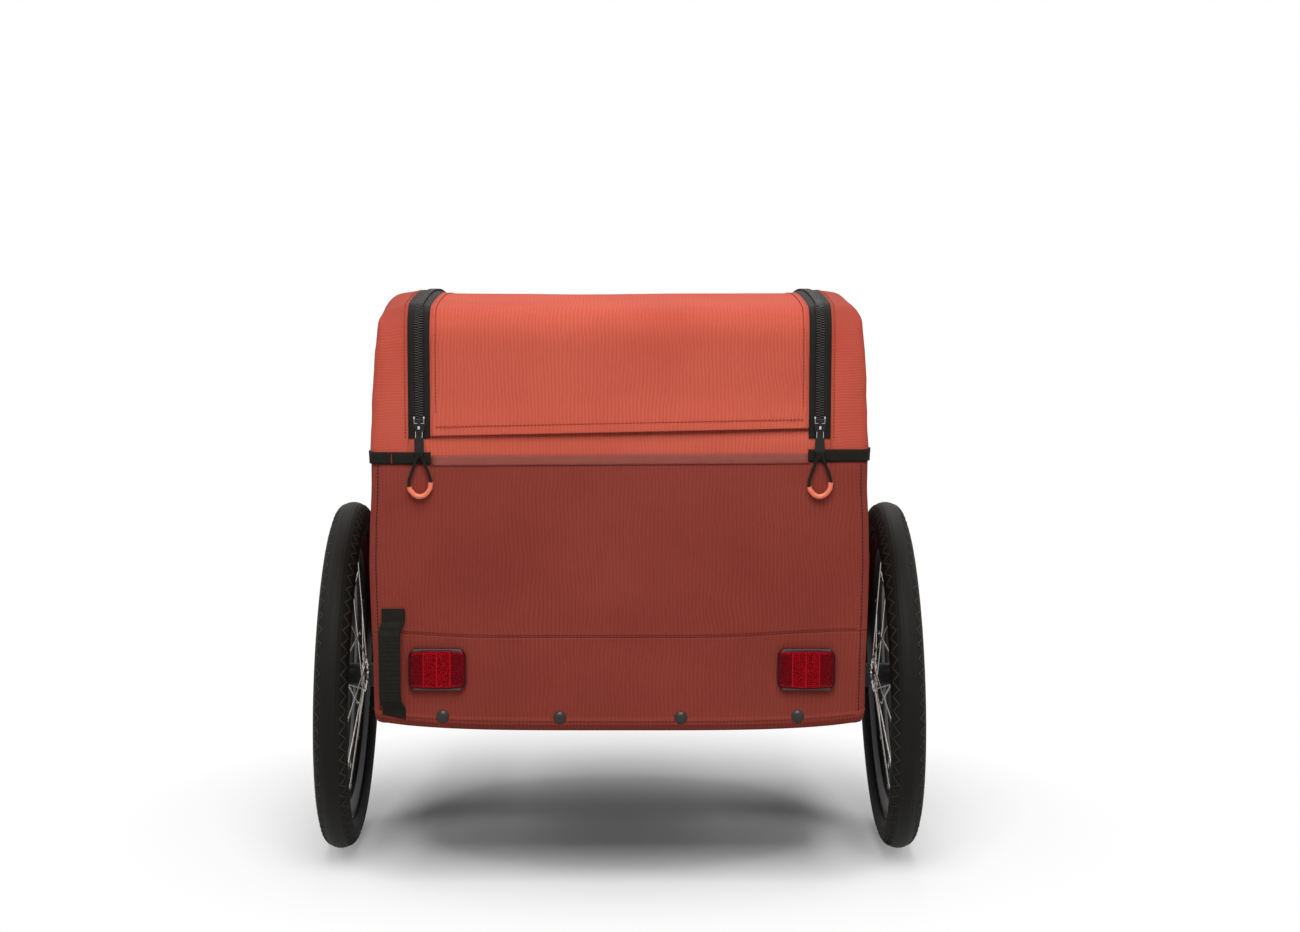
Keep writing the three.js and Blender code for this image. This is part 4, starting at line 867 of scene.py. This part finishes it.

# %% [markdown]
# ## Zips
#
# A coil zip is one long spring of nylon on each tape, and the two springs hold each other tooth by
# tooth. From outside it reads as a row of ridges, so each ridge is one short bar, and those of the inner
# tape sit half a step further on. The face of each bar that looks straight out is lighter: a painted
# highlight, standing in for the light the ridge catches. The inner row rides with the roof, the outer
# with the body.

# %% Lay the coils
tooth_pitch, tooth_length, tooth_radius = 0.0033, 0.0054, 0.00105
tooth_shift, tooth_proud, tooth_sides = 0.0026, 0.0007, 6
coil_low, coil_end, highlight_facing = roof_edge_z + 0.020, hinge_place - 0.003, 0.8
for side, sign in sides:
    ridges = even_frames(roof_line(sign * zip_x, coil_low, coil_end), tooth_pitch, tooth_proud)
    for part, shift, body, start in (("outer", 1, "frame", 0.0), ("inner", -1, "roof", 0.5)):
        coil = bmesh.new()
        for place, along, out in ridges:
            across = along.cross(out).normalized()
            if across.x * sign < 0:
                across = -across
            middle = place + across * shift * tooth_shift + along * tooth_pitch * start
            lying = frame_matrix(middle, along, out, (1, 1, 1)) @ Matrix.Rotation(pi / 2, 4, "Y")
            bmesh.ops.create_cone(
                coil, cap_ends=True, segments=tooth_sides, radius1=tooth_radius, radius2=tooth_radius,
                depth=tooth_length, matrix=lying)
            coil.faces.ensure_lookup_table()
            # Faces that look straight out take the painted highlight.
            for face in coil.faces[-(tooth_sides + 2):]:
                face.material_index = int(face.normal.dot(out) > highlight_facing)
        declare(to_object(f"{side}_{part}_coil", coil, [zip_coil, coil_crown], 65), body, "zip_tape")
print("coil ridges a zip:", len(ridges) * 2)

# %% [markdown]
# A slider is a waisted plate under a bridge, and a pull hangs from it. Small blocks of bright metal on
# the slider's tips, sides, bridge and a line across it, and on the pull's edges, are painted highlights:
# they stand in for glints. Both are drawn as the right halves of their outlines, and the rest as blocks:
# the middle and half width across, then from where to where in depth and in height.

# %% Cast the sliders and pulls
slider_half = [(0.0042, 0.6512), (0.0052, 0.6545), (0.0075, 0.6545), (0.0078, 0.6445), (0.0062, 0.6345)]
pull_half = [(0.0026, 0.6405), (0.0034, 0.6375), (0.0050, 0.6358), (0.0054, 0.6290), (0.0062, 0.6200),
             (0.0064, 0.6090), (0.0052, 0.6065)]
slider_blocks = [
    (0, 0.0016, -0.7014, -0.6960, 0.6465, 0.6490), (0, 0.0016, -0.7014, -0.6960, 0.6340, 0.6365),
    (0, 0.0019, -0.7017, -0.7000, 0.6340, 0.6490)]
# Painted highlights: bright metal blocks where the slider and the pull show glints.
slider_glint_blocks = [
    (0, 0.0066, -0.6967, -0.6963, 0.6455, 0.6460), (0, 0.0014, -0.7019, -0.7014, 0.6385, 0.6425)]
for x in (-0.0064, 0.0064):
    slider_glint_blocks += [
        (x, 0.0009, -0.6969, -0.6955, 0.6518, 0.6547), (x, 0.0002, -0.6967, -0.6963, 0.6460, 0.6518)]
pull_glint_blocks = [(x, 0.0003, -0.6999, -0.6995, 0.6270, 0.6352) for x in (-0.0044, 0.0044)]
pull_blocks = [(0, 0.0030, -0.7000, -0.6994, 0.6130, 0.6255)]


def plate(maker, half, front_y, back_y, edge):
    """A plate from the right half of its outline, across and up, its front edges rounded."""
    outline = half + [(-x, z) for x, z in reversed(half)]
    face = maker.faces.new([maker.verts.new((x, back_y, z)) for x, z in outline])
    raised = bmesh.ops.extrude_face_region(maker, geom=[face])
    moved = [piece for piece in raised["geom"] if isinstance(piece, bmesh.types.BMVert)]
    bmesh.ops.translate(maker, vec=(0, front_y - back_y, 0), verts=moved)
    front = [line for line in maker.edges if all(vertex in moved for vertex in line.verts)]
    bmesh.ops.bevel(
        maker, geom=front, offset=edge, affect="EDGES", segments=2, profile=0.5, material=-1,
        clamp_overlap=True)


for side, sign in sides:
    for name, flat, blocks, material, body, slot, node in (
            ("slider_body", (slider_half, -0.6965, -0.6950, 0.0006), slider_blocks, slider_metal,
             "slider", "zip_metal", f"{side}_zip_slider"),
            ("slider_worn_tips", None, slider_glint_blocks, worn_metal, "slider", "zip_metal", None),
            ("pull_worn_edges", None, pull_glint_blocks, worn_metal, "pull", "zip_metal", None),
            ("pull_bar", (pull_half, -0.6996, -0.6976, 0.0007), pull_blocks, pull_plastic,
             "pull", "pull_grey", f"{side}_zip_puller")):
        maker = bmesh.new()
        if flat:
            plate(maker, *flat)
        for middle_x, half, front_y, back_y, low_z, high_z in blocks:
            low = Vector((middle_x - half, front_y, low_z))
            high = Vector((middle_x + half, back_y, high_z))
            bmesh.ops.create_cube(maker, size=1, matrix=Matrix.Translation(
                (high + low) / 2) @ Matrix.Diagonal((*(high - low), 1)))
        bmesh.ops.recalc_face_normals(maker, faces=maker.faces)
        bmesh.ops.translate(maker, vec=(sign * zip_x, 0, 0), verts=maker.verts)
        declare(to_object(f"{side}_{name}", maker, [material], sharp=0), f"{side}_{body}", slot, node)
print("slider outline:", 2 * len(slider_half), "corners, pull outline:", 2 * len(pull_half))

# %% [markdown]
# ## Webbing and braid
#
# Flat straps are grids whose columns run along the strap and whose rows run across. The satin strip
# covers the seam of tub and hood. A tab of webbing wraps each corner at the same height, and a wide
# strap, sewn down at its ends, stands off the panel to hold the flag's pole.

# %% Lay the straps
def strap(name, place, size, steps, material, thickness, slot, node):
    """A flat strip: place takes a share along and a share across, and gives a point."""
    strip = bmesh.new()
    bmesh.ops.create_grid(strip, x_segments=steps[0], y_segments=steps[1], size=0.5)
    cut = strip.loops.layers.uv.new("cloth")
    for face in strip.faces:
        for loop in face.loops:
            loop[cut].uv = ((loop.vert.co.x + 0.5) * size[0], (loop.vert.co.y + 0.5) * size[1])
    for vertex in strip.verts:
        vertex.co = place(vertex.co.x + 0.5, vertex.co.y + 0.5)
    area = sum(face.calc_area() for face in strip.faces)
    made = to_object(name, strip, [material])
    wall = made.modifiers.new("cloth", "SOLIDIFY")
    wall.thickness, wall.offset = thickness, 0
    declare(made, "frame", slot, node)
    print(name, "area", round(area, 5), "of", round(size[0] * size[1], 5))


def corner_place(reach, z, sign, proud):
    """A point that runs out along the rear face and on round the corner to the side."""
    if reach < body_half:
        return on_body(sign * reach, rear_y, z, proud)[0]
    return on_body(sign * body_half, rear_y + reach - body_half, z, proud)[0]


strip_low, strip_high, strip_left, strip_right = 0.5890, 0.6032, -0.2475, 0.2500
strip_slant, strip_proud, strip_bow, strip_thickness = 0.0032, 0.0009, 0.0003, 0.0007
tab_lows, tab_thickness = (0.5913, 0.5953), 0.0014
tab_proud, tab_wave, tab_waves = 0.0014, 0.0004, 9
strap("satin_strip",
      lambda along, across: on_body(
          strip_left + (strip_right - strip_left) * along, rear_y,
          strip_low + (strip_high - strip_low) * across + strip_slant * along,
          strip_proud + strip_bow * sin(pi * across))[0],
      (strip_right - strip_left, strip_high - strip_low), (60, 6), braid, strip_thickness,
      "piping", "reflective_strip")
tab_start, tab_end, tab_height = 0.2485, body_half + 0.028, 0.0165
for (side, sign), low in zip(sides, tab_lows):
    strap(f"{side}_tab_webbing",
          lambda along, across: corner_place(
              tab_start + (tab_end - tab_start) * along, low + tab_height * across, sign,
              tab_proud + tab_wave * sin(along * tab_waves)),
          (tab_end - tab_start, tab_height), (44, 5), webbing, tab_thickness,
          "webbing", f"{side}_webbing_tab")
sew("left_tab_stitches", "frame", [straight_line((-0.3007, rear_y, 0.5935), (-0.3007, rear_y, 0.6065))],
    thread, 0.0026, pitch=0.0026, size=(0.0012, 0.0020, 0.0008))

# The pole strap's side view: height above ground, and how far it stands off the panel
strap_profile = [
    (0.3980, 0.0012), (0.3890, 0.0014), (0.3805, 0.0022), (0.3775, 0.0060), (0.3740, 0.0078),
    (0.3700, 0.0080), (0.3640, 0.0112), (0.3500, 0.0122), (0.3300, 0.0126), (0.3080, 0.0124),
    (0.2880, 0.0116), (0.2740, 0.0090), (0.2680, 0.0056), (0.2640, 0.0026), (0.2590, 0.0016),
    (0.2520, 0.0014)]
strap_x, strap_half, strap_thickness = -0.3005, 0.0155, 0.0018
standing_run, foot_run = (0.002, 0.011), (0.255, 0.275)
strap_drift, strap_pinch, strap_bow, strap_slant = 0.0045, 0.0012, 0.0012, 0.0034


def pole_strap_place(along, across):
    reach = along * (len(strap_profile) - 1)
    first = min(int(reach), len(strap_profile) - 2)
    before, after = strap_profile[first:first + 2]
    z, out = (a + (b - a) * (reach - first) for a, b in zip(before, after))
    standing = smooth(out, *standing_run)
    x = strap_x - strap_drift * standing + (2 * across - 1) * (strap_half - strap_pinch * standing)
    foot = -strap_slant * (2 * across - 1) * (1 - smooth(z, *foot_run))
    bow = strap_bow * standing * sin(pi * across)
    return Vector((x, axle_y + rear_y - out - bow, z + foot))


strap_length = sum(dist(a, b) for a, b in zip(strap_profile, strap_profile[1:]))
strap("flag_pole_strap", pole_strap_place, (strap_length, 2 * strap_half), (75, 8), webbing,
      strap_thickness, "webbing", "flag_sleeve")

# %% [markdown]
# ## Press studs
#
# Four domed studs fasten the hem. A stud is a turned piece: half of its outline is spun about its middle.

# %% Turn the studs
def spun(outline, steps, second=None):
    """Turns an outline, pairs of distance along X and radius, about the X axis.

    Second says of such a pair whether a face there takes the second material.
    """
    turned = bmesh.new()
    corners = [turned.verts.new((along, 0, radius)) for along, radius in outline]
    edges = [turned.edges.new(pair) for pair in zip(corners, corners[1:])]
    bmesh.ops.spin(
        turned, geom=corners + edges, cent=(0, 0, 0), axis=(1, 0, 0), angle=2 * pi, steps=steps,
        use_merge=True)
    bmesh.ops.remove_doubles(turned, verts=turned.verts, dist=1e-6)
    bmesh.ops.recalc_face_normals(turned, faces=turned.faces)
    for face in turned.faces if second else ():
        middle = face.calc_center_median()
        face.material_index = int(second(abs(middle.x), middle.yz.length))
    return turned


stud_outline = [(0, 0), (0, 0.0082), (0.0008, 0.0087), (0.0015, 0.0086), (0.0019, 0.0078),
                (0.0030, 0.0066), (0.0039, 0.0044), (0.0043, 0.0022), (0.0044, 0)]
stud_places = [(-0.236, 0.2515), (-0.080, 0.2500), (0.082, 0.2500), (0.238, 0.2520)]
stud_steps, stud_sunk = 28, 0.0002
studs = bmesh.new()
for x, z in stud_places:
    stud = spun(stud_outline, stud_steps)
    place, out = on_body(x, rear_y, z, -stud_sunk)
    turn = Vector((1, 0, 0)).rotation_difference(out).to_matrix().to_4x4()
    bmesh.ops.transform(stud, matrix=Matrix.Translation(place) @ turn, verts=stud.verts)
    holder = bpy.data.meshes.new("stud")
    stud.to_mesh(holder)
    studs.from_mesh(holder)
    stud.free()
declare(to_object("hem_studs", studs, [stud_metal]), "frame")
print("studs:", len(stud_places))

# %% [markdown]
# ## Reflectors
#
# A reflector is one moulding: a bowed plate whose face is covered in small cells, in three upright
# fields, inside a plain border. A grid is bent to the outline, and its rim is pulled back to the panel.
# Border and dividers are real relief. The cells are a fine pattern of the material, and their sparkle is
# a painted highlight.

# %% Mould the reflectors
half_x, half_z, lens_round, lens_bow = 0.0375, 0.0250, 0.006, 0.003
lens_depth, lens_gap, lens_bulge = 0.008, 0.0003, 0.0008
border_fall, field_step, divider_groove = 0.0018, 0.0006, 0.0005
divider_lines, divider_cut, divider_half = (-0.0185, -0.0005, 0.0175), 0.0006, 0.0005
side_bow, border_power, field_from_side, field_from_end = 0.0008, 10, (0.03, 0.09), (0.05, 0.13)
bright_width, rim_side, rim_end, lens_cell = 0.0008, 0.0032, 0.0034, 0.0024


def lens_finish(name, dark, light):
    """Small cells over red, with a brighter middle field and a painted sparkle, a lighter colour that
    stands in for glints and varies among the cells.
    """
    finish = Finish(name, 0.22, 0.06)
    _, across, along = finish.flat_map()
    cell, row = (((way / lens_cell).fraction() - 0.5).size() for way in (across, along))
    facet = cell + row
    # Painted highlight: the sparkle, also in rows along the top and bottom edges, stands in for glints
    # off the cells.
    sparkle = finish.cloud(700.0, 1.0)
    middle_field = (across + 0.0005).size() < 0.018
    edge_sparkle_rows = (along.size() > 0.0190) * (sparkle * 2.0 - 0.75)
    tone = (facet * 0.5 + sparkle * 2.4 - 1.15) * (middle_field * 0.55 + 0.5) + edge_sparkle_rows
    return finish.paint(
        finish.blend(finish.rise(tone, 0.0, 0.85), dark, light), finish.bump(facet, 0.0004, 0.7))


lens_materials = [
    lens_finish("lens_red", (64, 0, 6), (186, 0, 20)),
    solid_finish("lens_rim", (52, 3, 9), (76, 6, 14), 0.3, 0.1),
    solid_finish("lens_frame", (66, 56, 54), (96, 86, 83), 0.4, 0.1),
    solid_finish("lens_line", (168, 4, 20), (196, 20, 36), 0.3, 0.06)]
red, rim, bright_edge, divider = range(4)


def from_divider(x):
    return min(abs(x - line) for line in divider_lines)


def reflector(name, centre_x, centre_z):
    lens = bmesh.new()
    bmesh.ops.create_grid(lens, x_segments=64, y_segments=44, size=1)
    cut = lens.loops.layers.uv.new("cloth")
    back_y = axle_y + rear_y - lens_gap
    for face in lens.faces:
        for loop in face.loops:
            loop[cut].uv = (loop.vert.co.x * half_x, loop.vert.co.y * half_z)
    for vertex in lens.verts:
        across, up = vertex.co.x, vertex.co.y
        x, z = across * half_x, up * half_z
        corner = Vector((max(abs(x) - half_x + lens_round, 0), max(abs(z) - half_z + lens_round, 0)))
        if corner.length > lens_round:
            corner = corner.normalized() * lens_round
            x = copysign(half_x - lens_round + corner.x, x)
            z = copysign(half_z - lens_round + corner.y, z)
        x += across * side_bow * (1 - up * up)
        z += up * lens_bow * (1 - across * across)
        border = max(abs(across) ** border_power, abs(up) ** border_power)
        inside = smooth(1 - abs(across), *field_from_side) * smooth(1 - abs(up), *field_from_end)
        groove = divider_groove if from_divider(across * half_x) < divider_cut else 0.0
        depth = (lens_depth - border_fall * border - field_step * (1 - inside)
                 + lens_bulge * (1 - across * across))
        vertex.co = Vector((centre_x + x, back_y - depth + groove * inside, centre_z + z))
    wall = bmesh.ops.extrude_edge_only(lens, edges=[edge for edge in lens.edges if edge.is_boundary])
    for piece in wall["geom"]:
        if isinstance(piece, bmesh.types.BMVert):
            piece.co.y = back_y
    bmesh.ops.holes_fill(lens, edges=[edge for edge in lens.edges if edge.is_boundary], sides=0)
    bmesh.ops.recalc_face_normals(lens, faces=lens.faces)
    for face in lens.faces:
        at = face.calc_center_median()
        x, z = at.x - centre_x, abs(at.z - centre_z)
        edge = half_z + lens_bow * (1 - (x / half_x) ** 2)
        if abs(face.normal.y) < 0.5:
            face.material_index = rim
        elif z > edge - bright_width and abs(x) < half_x - lens_round:
            face.material_index = bright_edge
        elif abs(x) > half_x - rim_side or z > edge - rim_end:
            face.material_index = rim
        elif from_divider(x) < divider_half:
            face.material_index = divider
    return to_object(name, lens, lens_materials, 40)


for side, sign in sides:
    low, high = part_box(f"{side}_reflector")
    middle_x, middle_z = (low.x + high.x) / 2, (low.z + high.z) / 2
    declare(reflector(f"{side}_lens", middle_x, middle_z), "frame", "lens", f"{side}_reflector")
    print(side, "reflector at", round(middle_x, 4), round(middle_z, 4))

# %% [markdown]
# ## Wheels
#
# Tyre, rim and hub are turned, so each is an outline spun about the axle. They are drawn upright about
# the origin, with X outwards, then leaned by the wheel's camber and moved to the axle in the mesh itself.
# The left wheel is the right one mirrored. The tread's zigzag and the spokes are small pieces set round
# the wheel by turning, twenty spokes in crossed pairs.

# %% Turn the tyres
camber = radians(1.81)
tyre_middle, tyre_section = 0.2265, 0.0235
bead_half, bead_radius, foot_half, foot_radius = 0.0107, 0.2030, 0.0163, 0.2093
wheel_steps, section_steps, tyre_shrink = 120, 64, 1 - 0.0010
crown_lines, line_half, crown_groove, crown_half = (0.0, 0.20, 0.42), 0.03, 0.00035, 0.0125
side_ribs, rib_rise = ((0.95, 1.0), (1.45, 1.5)), 0.0005
tread_legs, tread_inner, tread_outer = 152, 0.62, 1.12
ridge_width, ridge_height = 0.0013, 0.0012


def wheel_piece(name, maker, side, sign, materials, sharp, slot, node=None):
    """Moves a wheel piece, drawn about the origin with X outwards, to its place."""
    centre = Vector(joints[f"{side}_wheel_spin"]["pos_m"])
    if sign < 0:
        bmesh.ops.scale(maker, vec=(-1, 1, 1), verts=maker.verts)
    turn = Matrix.Rotation(-sign * camber, 4, "Y")
    bmesh.ops.transform(maker, matrix=Matrix.Translation(centre) @ turn, verts=maker.verts)
    bmesh.ops.recalc_face_normals(maker, faces=maker.faces)
    made = to_object(f"{side}_{name}", maker, materials, sharp)
    declare(made, f"{side}_wheel", slot, node and f"{side}_{node}")
    return made


def tyre_outline():
    foot = atan2(foot_radius - tyre_middle, foot_half)
    outline = [(bead_half, bead_radius), (bead_half, foot_radius)]
    for step in range(section_steps + 1):
        angle = foot + (pi - 2 * foot) * step / section_steps
        radius = tyre_section
        lean = abs(angle - pi / 2)
        for line in crown_lines:
            if abs(lean - line) < line_half:
                radius -= crown_groove
        if any(low < lean < high for low, high in side_ribs):
            radius += rib_rise
        outline.append((radius * cos(angle), tyre_middle + radius * sin(angle)))
    return outline + [(-bead_half, foot_radius), (-bead_half, bead_radius), (bead_half, bead_radius)]


def tread(maker):
    """Zigzag ridges round both shoulders of the tyre. Each leg is two blocks that follow the curve."""
    for edge in (-1, 1):
        for step in range(tread_legs):
            leans = (tread_inner, tread_outer) if step % 2 else (tread_outer, tread_inner)
            for part in range(2):
                ends = []
                for share in (part / 2, (part + 1) / 2):
                    lean = leans[0] + (leans[1] - leans[0]) * share
                    out = Vector((edge * sin(lean), 0, cos(lean)))
                    place = Vector((0, 0, tyre_middle)) + out * (tyre_section + 0.0001)
                    spin = Matrix.Rotation(2 * pi * (step + share) / tread_legs, 3, "X")
                    ends.append((spin @ place, spin @ out))
                (start, out), (end, _) = ends
                run = end - start
                ridge = frame_matrix(
                    (start + end) / 2, run.normalized(), out, (ridge_width, run.length, ridge_height))
                bmesh.ops.create_cube(maker, size=1, matrix=ridge)


for side, sign in sides:
    tyre = spun(
        tyre_outline(), wheel_steps, lambda along, radius: along < crown_half and radius > tyre_middle)
    turned_faces = len(tyre.faces)
    tread(tyre)
    tyre.faces.ensure_lookup_table()
    for face in tyre.faces[turned_faces:]:
        face.material_index = 2
    bmesh.ops.scale(tyre, vec=(1, tyre_shrink, tyre_shrink), verts=tyre.verts)
    made = wheel_piece(
        "tyre_rubber", tyre, side, sign, [rubber, crown_rubber, tread_rubber], 35, "tyre", "tyre")
    print(side, "tyre's lowest point", round(min(vertex.co.z for vertex in made.data.vertices), 5))

# %% Turn the rims
rim_outline = [
    (0.0110, 0.2027), (0.0110, 0.2088), (0.0117, 0.2093), (0.0130, 0.2086), (0.0130, 0.2060),
    (0.0130, 0.1996), (0.0127, 0.1984), (0.0112, 0.1950), (0.0088, 0.1880), (0.0072, 0.1852),
    (0.0050, 0.1842), (0, 0.1840)]
rim_outline += [(-along, radius) for along, radius in reversed(rim_outline[:-1])] + [rim_outline[0]]
# The rim's lip takes bright metal: a painted highlight along the rim's edge.
highlight_from = (0.0112, 0.2060)
for side, sign in sides:
    ring = spun(rim_outline, wheel_steps,
                lambda along, radius: along > highlight_from[0] and radius > highlight_from[1])
    made = wheel_piece("rim_ring", ring, side, sign, [rim_black, rim_highlight_metal], 32, "rim", "rim")
print("rim faces:", len(made.data.polygons))

# %% Lace the spokes
flange_place, hole_radius, nose_radius, spoke_radius = 0.0232, 0.0215, 0.1840, 0.0010
spoke_count, spoke_cross, flange_shift, nipple_length = 20, radians(72), 0.0022, 0.0115
hub_steps, silver_from, tip_out, tip_radius = 40, (0.0212, 0.0134), 0.001, nose_radius + 0.0004
head_length, head_radius, nipple_radius, nipple_tip_radius = 0.0007, 0.0019, 0.0017, 0.0020
hub_half = [
    (0.0, 0.0158), (0.0110, 0.0160), (0.0180, 0.0168), (0.0208, 0.0180), (0.0216, 0.0192),
    (0.0216, 0.0246), (0.0221, 0.0250), (0.0243, 0.0250), (0.0248, 0.0246), (0.0248, 0.0172),
    (0.0256, 0.0165), (0.0260, 0.0158), (0.0260, 0.0133), (0.0187, 0.0133), (0.0187, 0.0090)]
hub_outline = hub_half + [(-along, radius) for along, radius in reversed(hub_half)]


def bar(maker, start, end, radius, end_radius=None, segments=8):
    """A round bar between two points."""
    run = end - start
    turn = Vector((0, 0, 1)).rotation_difference(run).to_matrix().to_4x4()
    bmesh.ops.create_cone(
        maker, cap_ends=True, segments=segments, radius1=radius, radius2=end_radius or radius,
        depth=run.length, matrix=Matrix.Translation((start + end) / 2) @ turn)


for side, sign in sides:
    hub = spun(hub_outline, hub_steps,
               lambda along, radius: along > silver_from[0] and radius > silver_from[1])
    wheel_piece("hub_body", hub, side, sign, [hub_black, spoke_steel], 32, "steel", "hub")
    lacing = bmesh.new()
    for index in range(spoke_count):
        rim_angle = 2 * pi * (index + 0.5) / spoke_count
        flange_side = 1 if index % 2 == 0 else -1
        lean = 1 if index // 2 % 2 == 0 else -1
        hub_angle = rim_angle + lean * spoke_cross

        def at(along, radius, angle):
            return Vector((flange_side * along, radius * sin(angle), radius * cos(angle)))
        bend = at(flange_place + lean * flange_shift, hole_radius, hub_angle)
        head = at(flange_place - lean * flange_shift, hole_radius, hub_angle)
        tip = at(tip_out, tip_radius, rim_angle)
        neck = tip + (bend - tip).normalized() * nipple_length
        bar(lacing, bend, neck, spoke_radius)
        bar(lacing, head, bend, spoke_radius)
        bar(lacing, head, head + (head - bend).normalized() * head_length, head_radius)
        bar(lacing, neck, tip, nipple_radius, nipple_tip_radius, 10)
    wheel_piece("spokes", lacing, side, sign, [spoke_steel], 50, "steel")
print("spokes:", spoke_count * 2)

# %% [markdown]
# ## Frame, axles, arm and stand
#
# These parts keep the exact shape of the CAD model. A copy of each has its loose triangles merged and its
# sharp edges rounded a little, as on a real casting or a cut tube, and is then shaded smooth across the
# shallow angles between facets.

# %% Dress the rigid parts
facet_angle = 40


def softened(node, material, slot, edge=0.0006):
    """A merged copy of a CAD node with rounded edges stands for it."""
    maker = bmesh.new()
    maker.from_mesh(nodes[node].data)
    bmesh.ops.remove_doubles(maker, verts=maker.verts, dist=1e-6)
    bmesh.ops.dissolve_limit(
        maker, angle_limit=radians(1), verts=maker.verts, edges=maker.edges,
        use_dissolve_boundaries=False)
    made = to_object(f"{node}_piece", maker, [material], facet_angle)
    bevel = made.modifiers.new("edges", "BEVEL")
    bevel.width, bevel.segments, bevel.limit_method = edge, 2, "ANGLE"
    bevel.angle_limit = radians(facet_angle + 5)
    bevel.use_clamp_overlap = True
    declare(made, nodes[node]["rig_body"], slot, node)


for name in ("rear_hoop", "front_hoop", "left_top_rail", "right_top_rail", "left_side_rail",
             "right_side_rail", "rear_cross_tube", "front_cross_tube", "axle_tube", "towing_arm"):
    softened(name, tube_black, "frame_tube")
for name in ("left_axle_socket", "right_axle_socket", "arm_receiver", "arm_knob", "stand_bracket",
             "left_release_button", "right_release_button", "coupling_head", "stand_foot"):
    softened(name, moulded_black, "plastic")
for name in ("left_axle", "right_axle", "left_outer_bearing", "left_inner_bearing",
             "right_outer_bearing", "right_inner_bearing", "stand_leg"):
    softened(name, spoke_steel, "steel")
softened("floor_panel", board_black, "board", 0.001)
print("CAD nodes that still show:", len([node for node in nodes.values() if not node.hide_render]))

# %% [markdown]
# ## Floor, light and background
#
# A studio floor is pale and has no visible edge. Its colour is white to the camera and to glossy rays and
# a middling grey to all other rays, so that it throws less light back up under the trailer. Far from the
# trailer it fades to plain white, as the world behind it is. A large soft lamp hangs high behind the
# camera, which sets the shadow under the trailer, two weaker ones stand high at its sides, and one in
# front lights the far side.

# %% Lay the floor
floor_half, world_level = 14, 0.15
fade_from, fade_to, fade_stretch, fade_shift = 0.34, 0.88, (1.15, 1.35, 1), 0.12
white, floor_grey, floor_white = (255, 255, 255), (205, 205, 205), (252, 252, 252)


def glancing(tree):
    """1 for rays from the camera, a gloss or a glass, and 0 for the rays that light the object."""
    camera_ray, glossy_ray, glass_ray = (
        tree.node("ShaderNodeLightPath", output=f"Is {kind} Ray")
        for kind in ("Camera", "Glossy", "Transmission"))
    return camera_ray.maths("MAXIMUM", glossy_ray).maths("MAXIMUM", glass_ray)


def mix_to_output(tree, factor, first, second, output):
    mixed = tree.node("ShaderNodeMixShader", None, {0: factor, 1: first, 2: second})
    tree.feed("Surface", mixed, tree.tree.nodes[output])


floor_maker = bmesh.new()
bmesh.ops.create_grid(floor_maker, x_segments=2, y_segments=2, size=floor_half)
floor_finish = Finish("studio_floor", 0.9, 0.0)
seen = glancing(floor_finish)
floor_finish.feed("Base Color", floor_finish.blend(seen, floor_grey, floor_white))
centred = floor_finish.stretched(
    floor_finish.place(), fade_stretch, (0, fade_stretch[1] * (-axle_y - fade_shift), 0))
reach = floor_finish.node("ShaderNodeVectorMath", {"operation": "LENGTH"}, {0: centred}, "Value")
far = floor_finish.rise((reach - fade_from) / (fade_to - fade_from), 0, 1)
mix_to_output(
    floor_finish, far * seen, Wire(floor_finish, floor_finish.shader.outputs[0]),
    floor_finish.node("ShaderNodeEmission", None, {"Color": white, "Strength": 1.0}), "Material Output")
floor = to_object("studio_floor", floor_maker, [floor_finish.material])
print("floor size:", [round(value, 1) for value in floor.dimensions])

# %% Light the studio
scene.world = bpy.data.worlds.new("studio")
sky = Tree(scene.world)
dim, plain = (sky.node("ShaderNodeBackground", None, {"Color": white, "Strength": level})
              for level in (world_level, 1.0))
mix_to_output(sky, glancing(sky), dim, plain, "World Output")
# Each lamp's place and aim, from the axles, its width and its watts
lamps = {
    "top_lamp": ((0, -2.15, 3.05), (0, -0.1, 0.35), 2.0, 102),
    "left_lamp": ((-2.7, 0.1, 2.2), (0, 0, 0.4), 1.6, 20),
    "right_lamp": ((2.7, 0.1, 2.2), (0, 0, 0.4), 1.6, 20),
    "front_lamp": ((0.3, 2.9, 3.3), (0, 0.5, 0.5), 1.6, 36)}
for name, (place, aim, width, watts) in lamps.items():
    lamp = bpy.data.objects.new(name, bpy.data.lights.new(name, "AREA"))
    lamp.data.shape, lamp.data.size, lamp.data.energy = "SQUARE", width, watts
    lamp.location = (place[0], axle_y + place[1], place[2])
    aimed = Vector((aim[0], axle_y + aim[1], aim[2])) - lamp.location
    lamp.rotation_euler = aimed.to_track_quat("-Z", "Y").to_euler()
    scene.collection.objects.link(lamp)
scene.view_settings.view_transform = "Standard"
print("lamps:", len(bpy.data.lights))
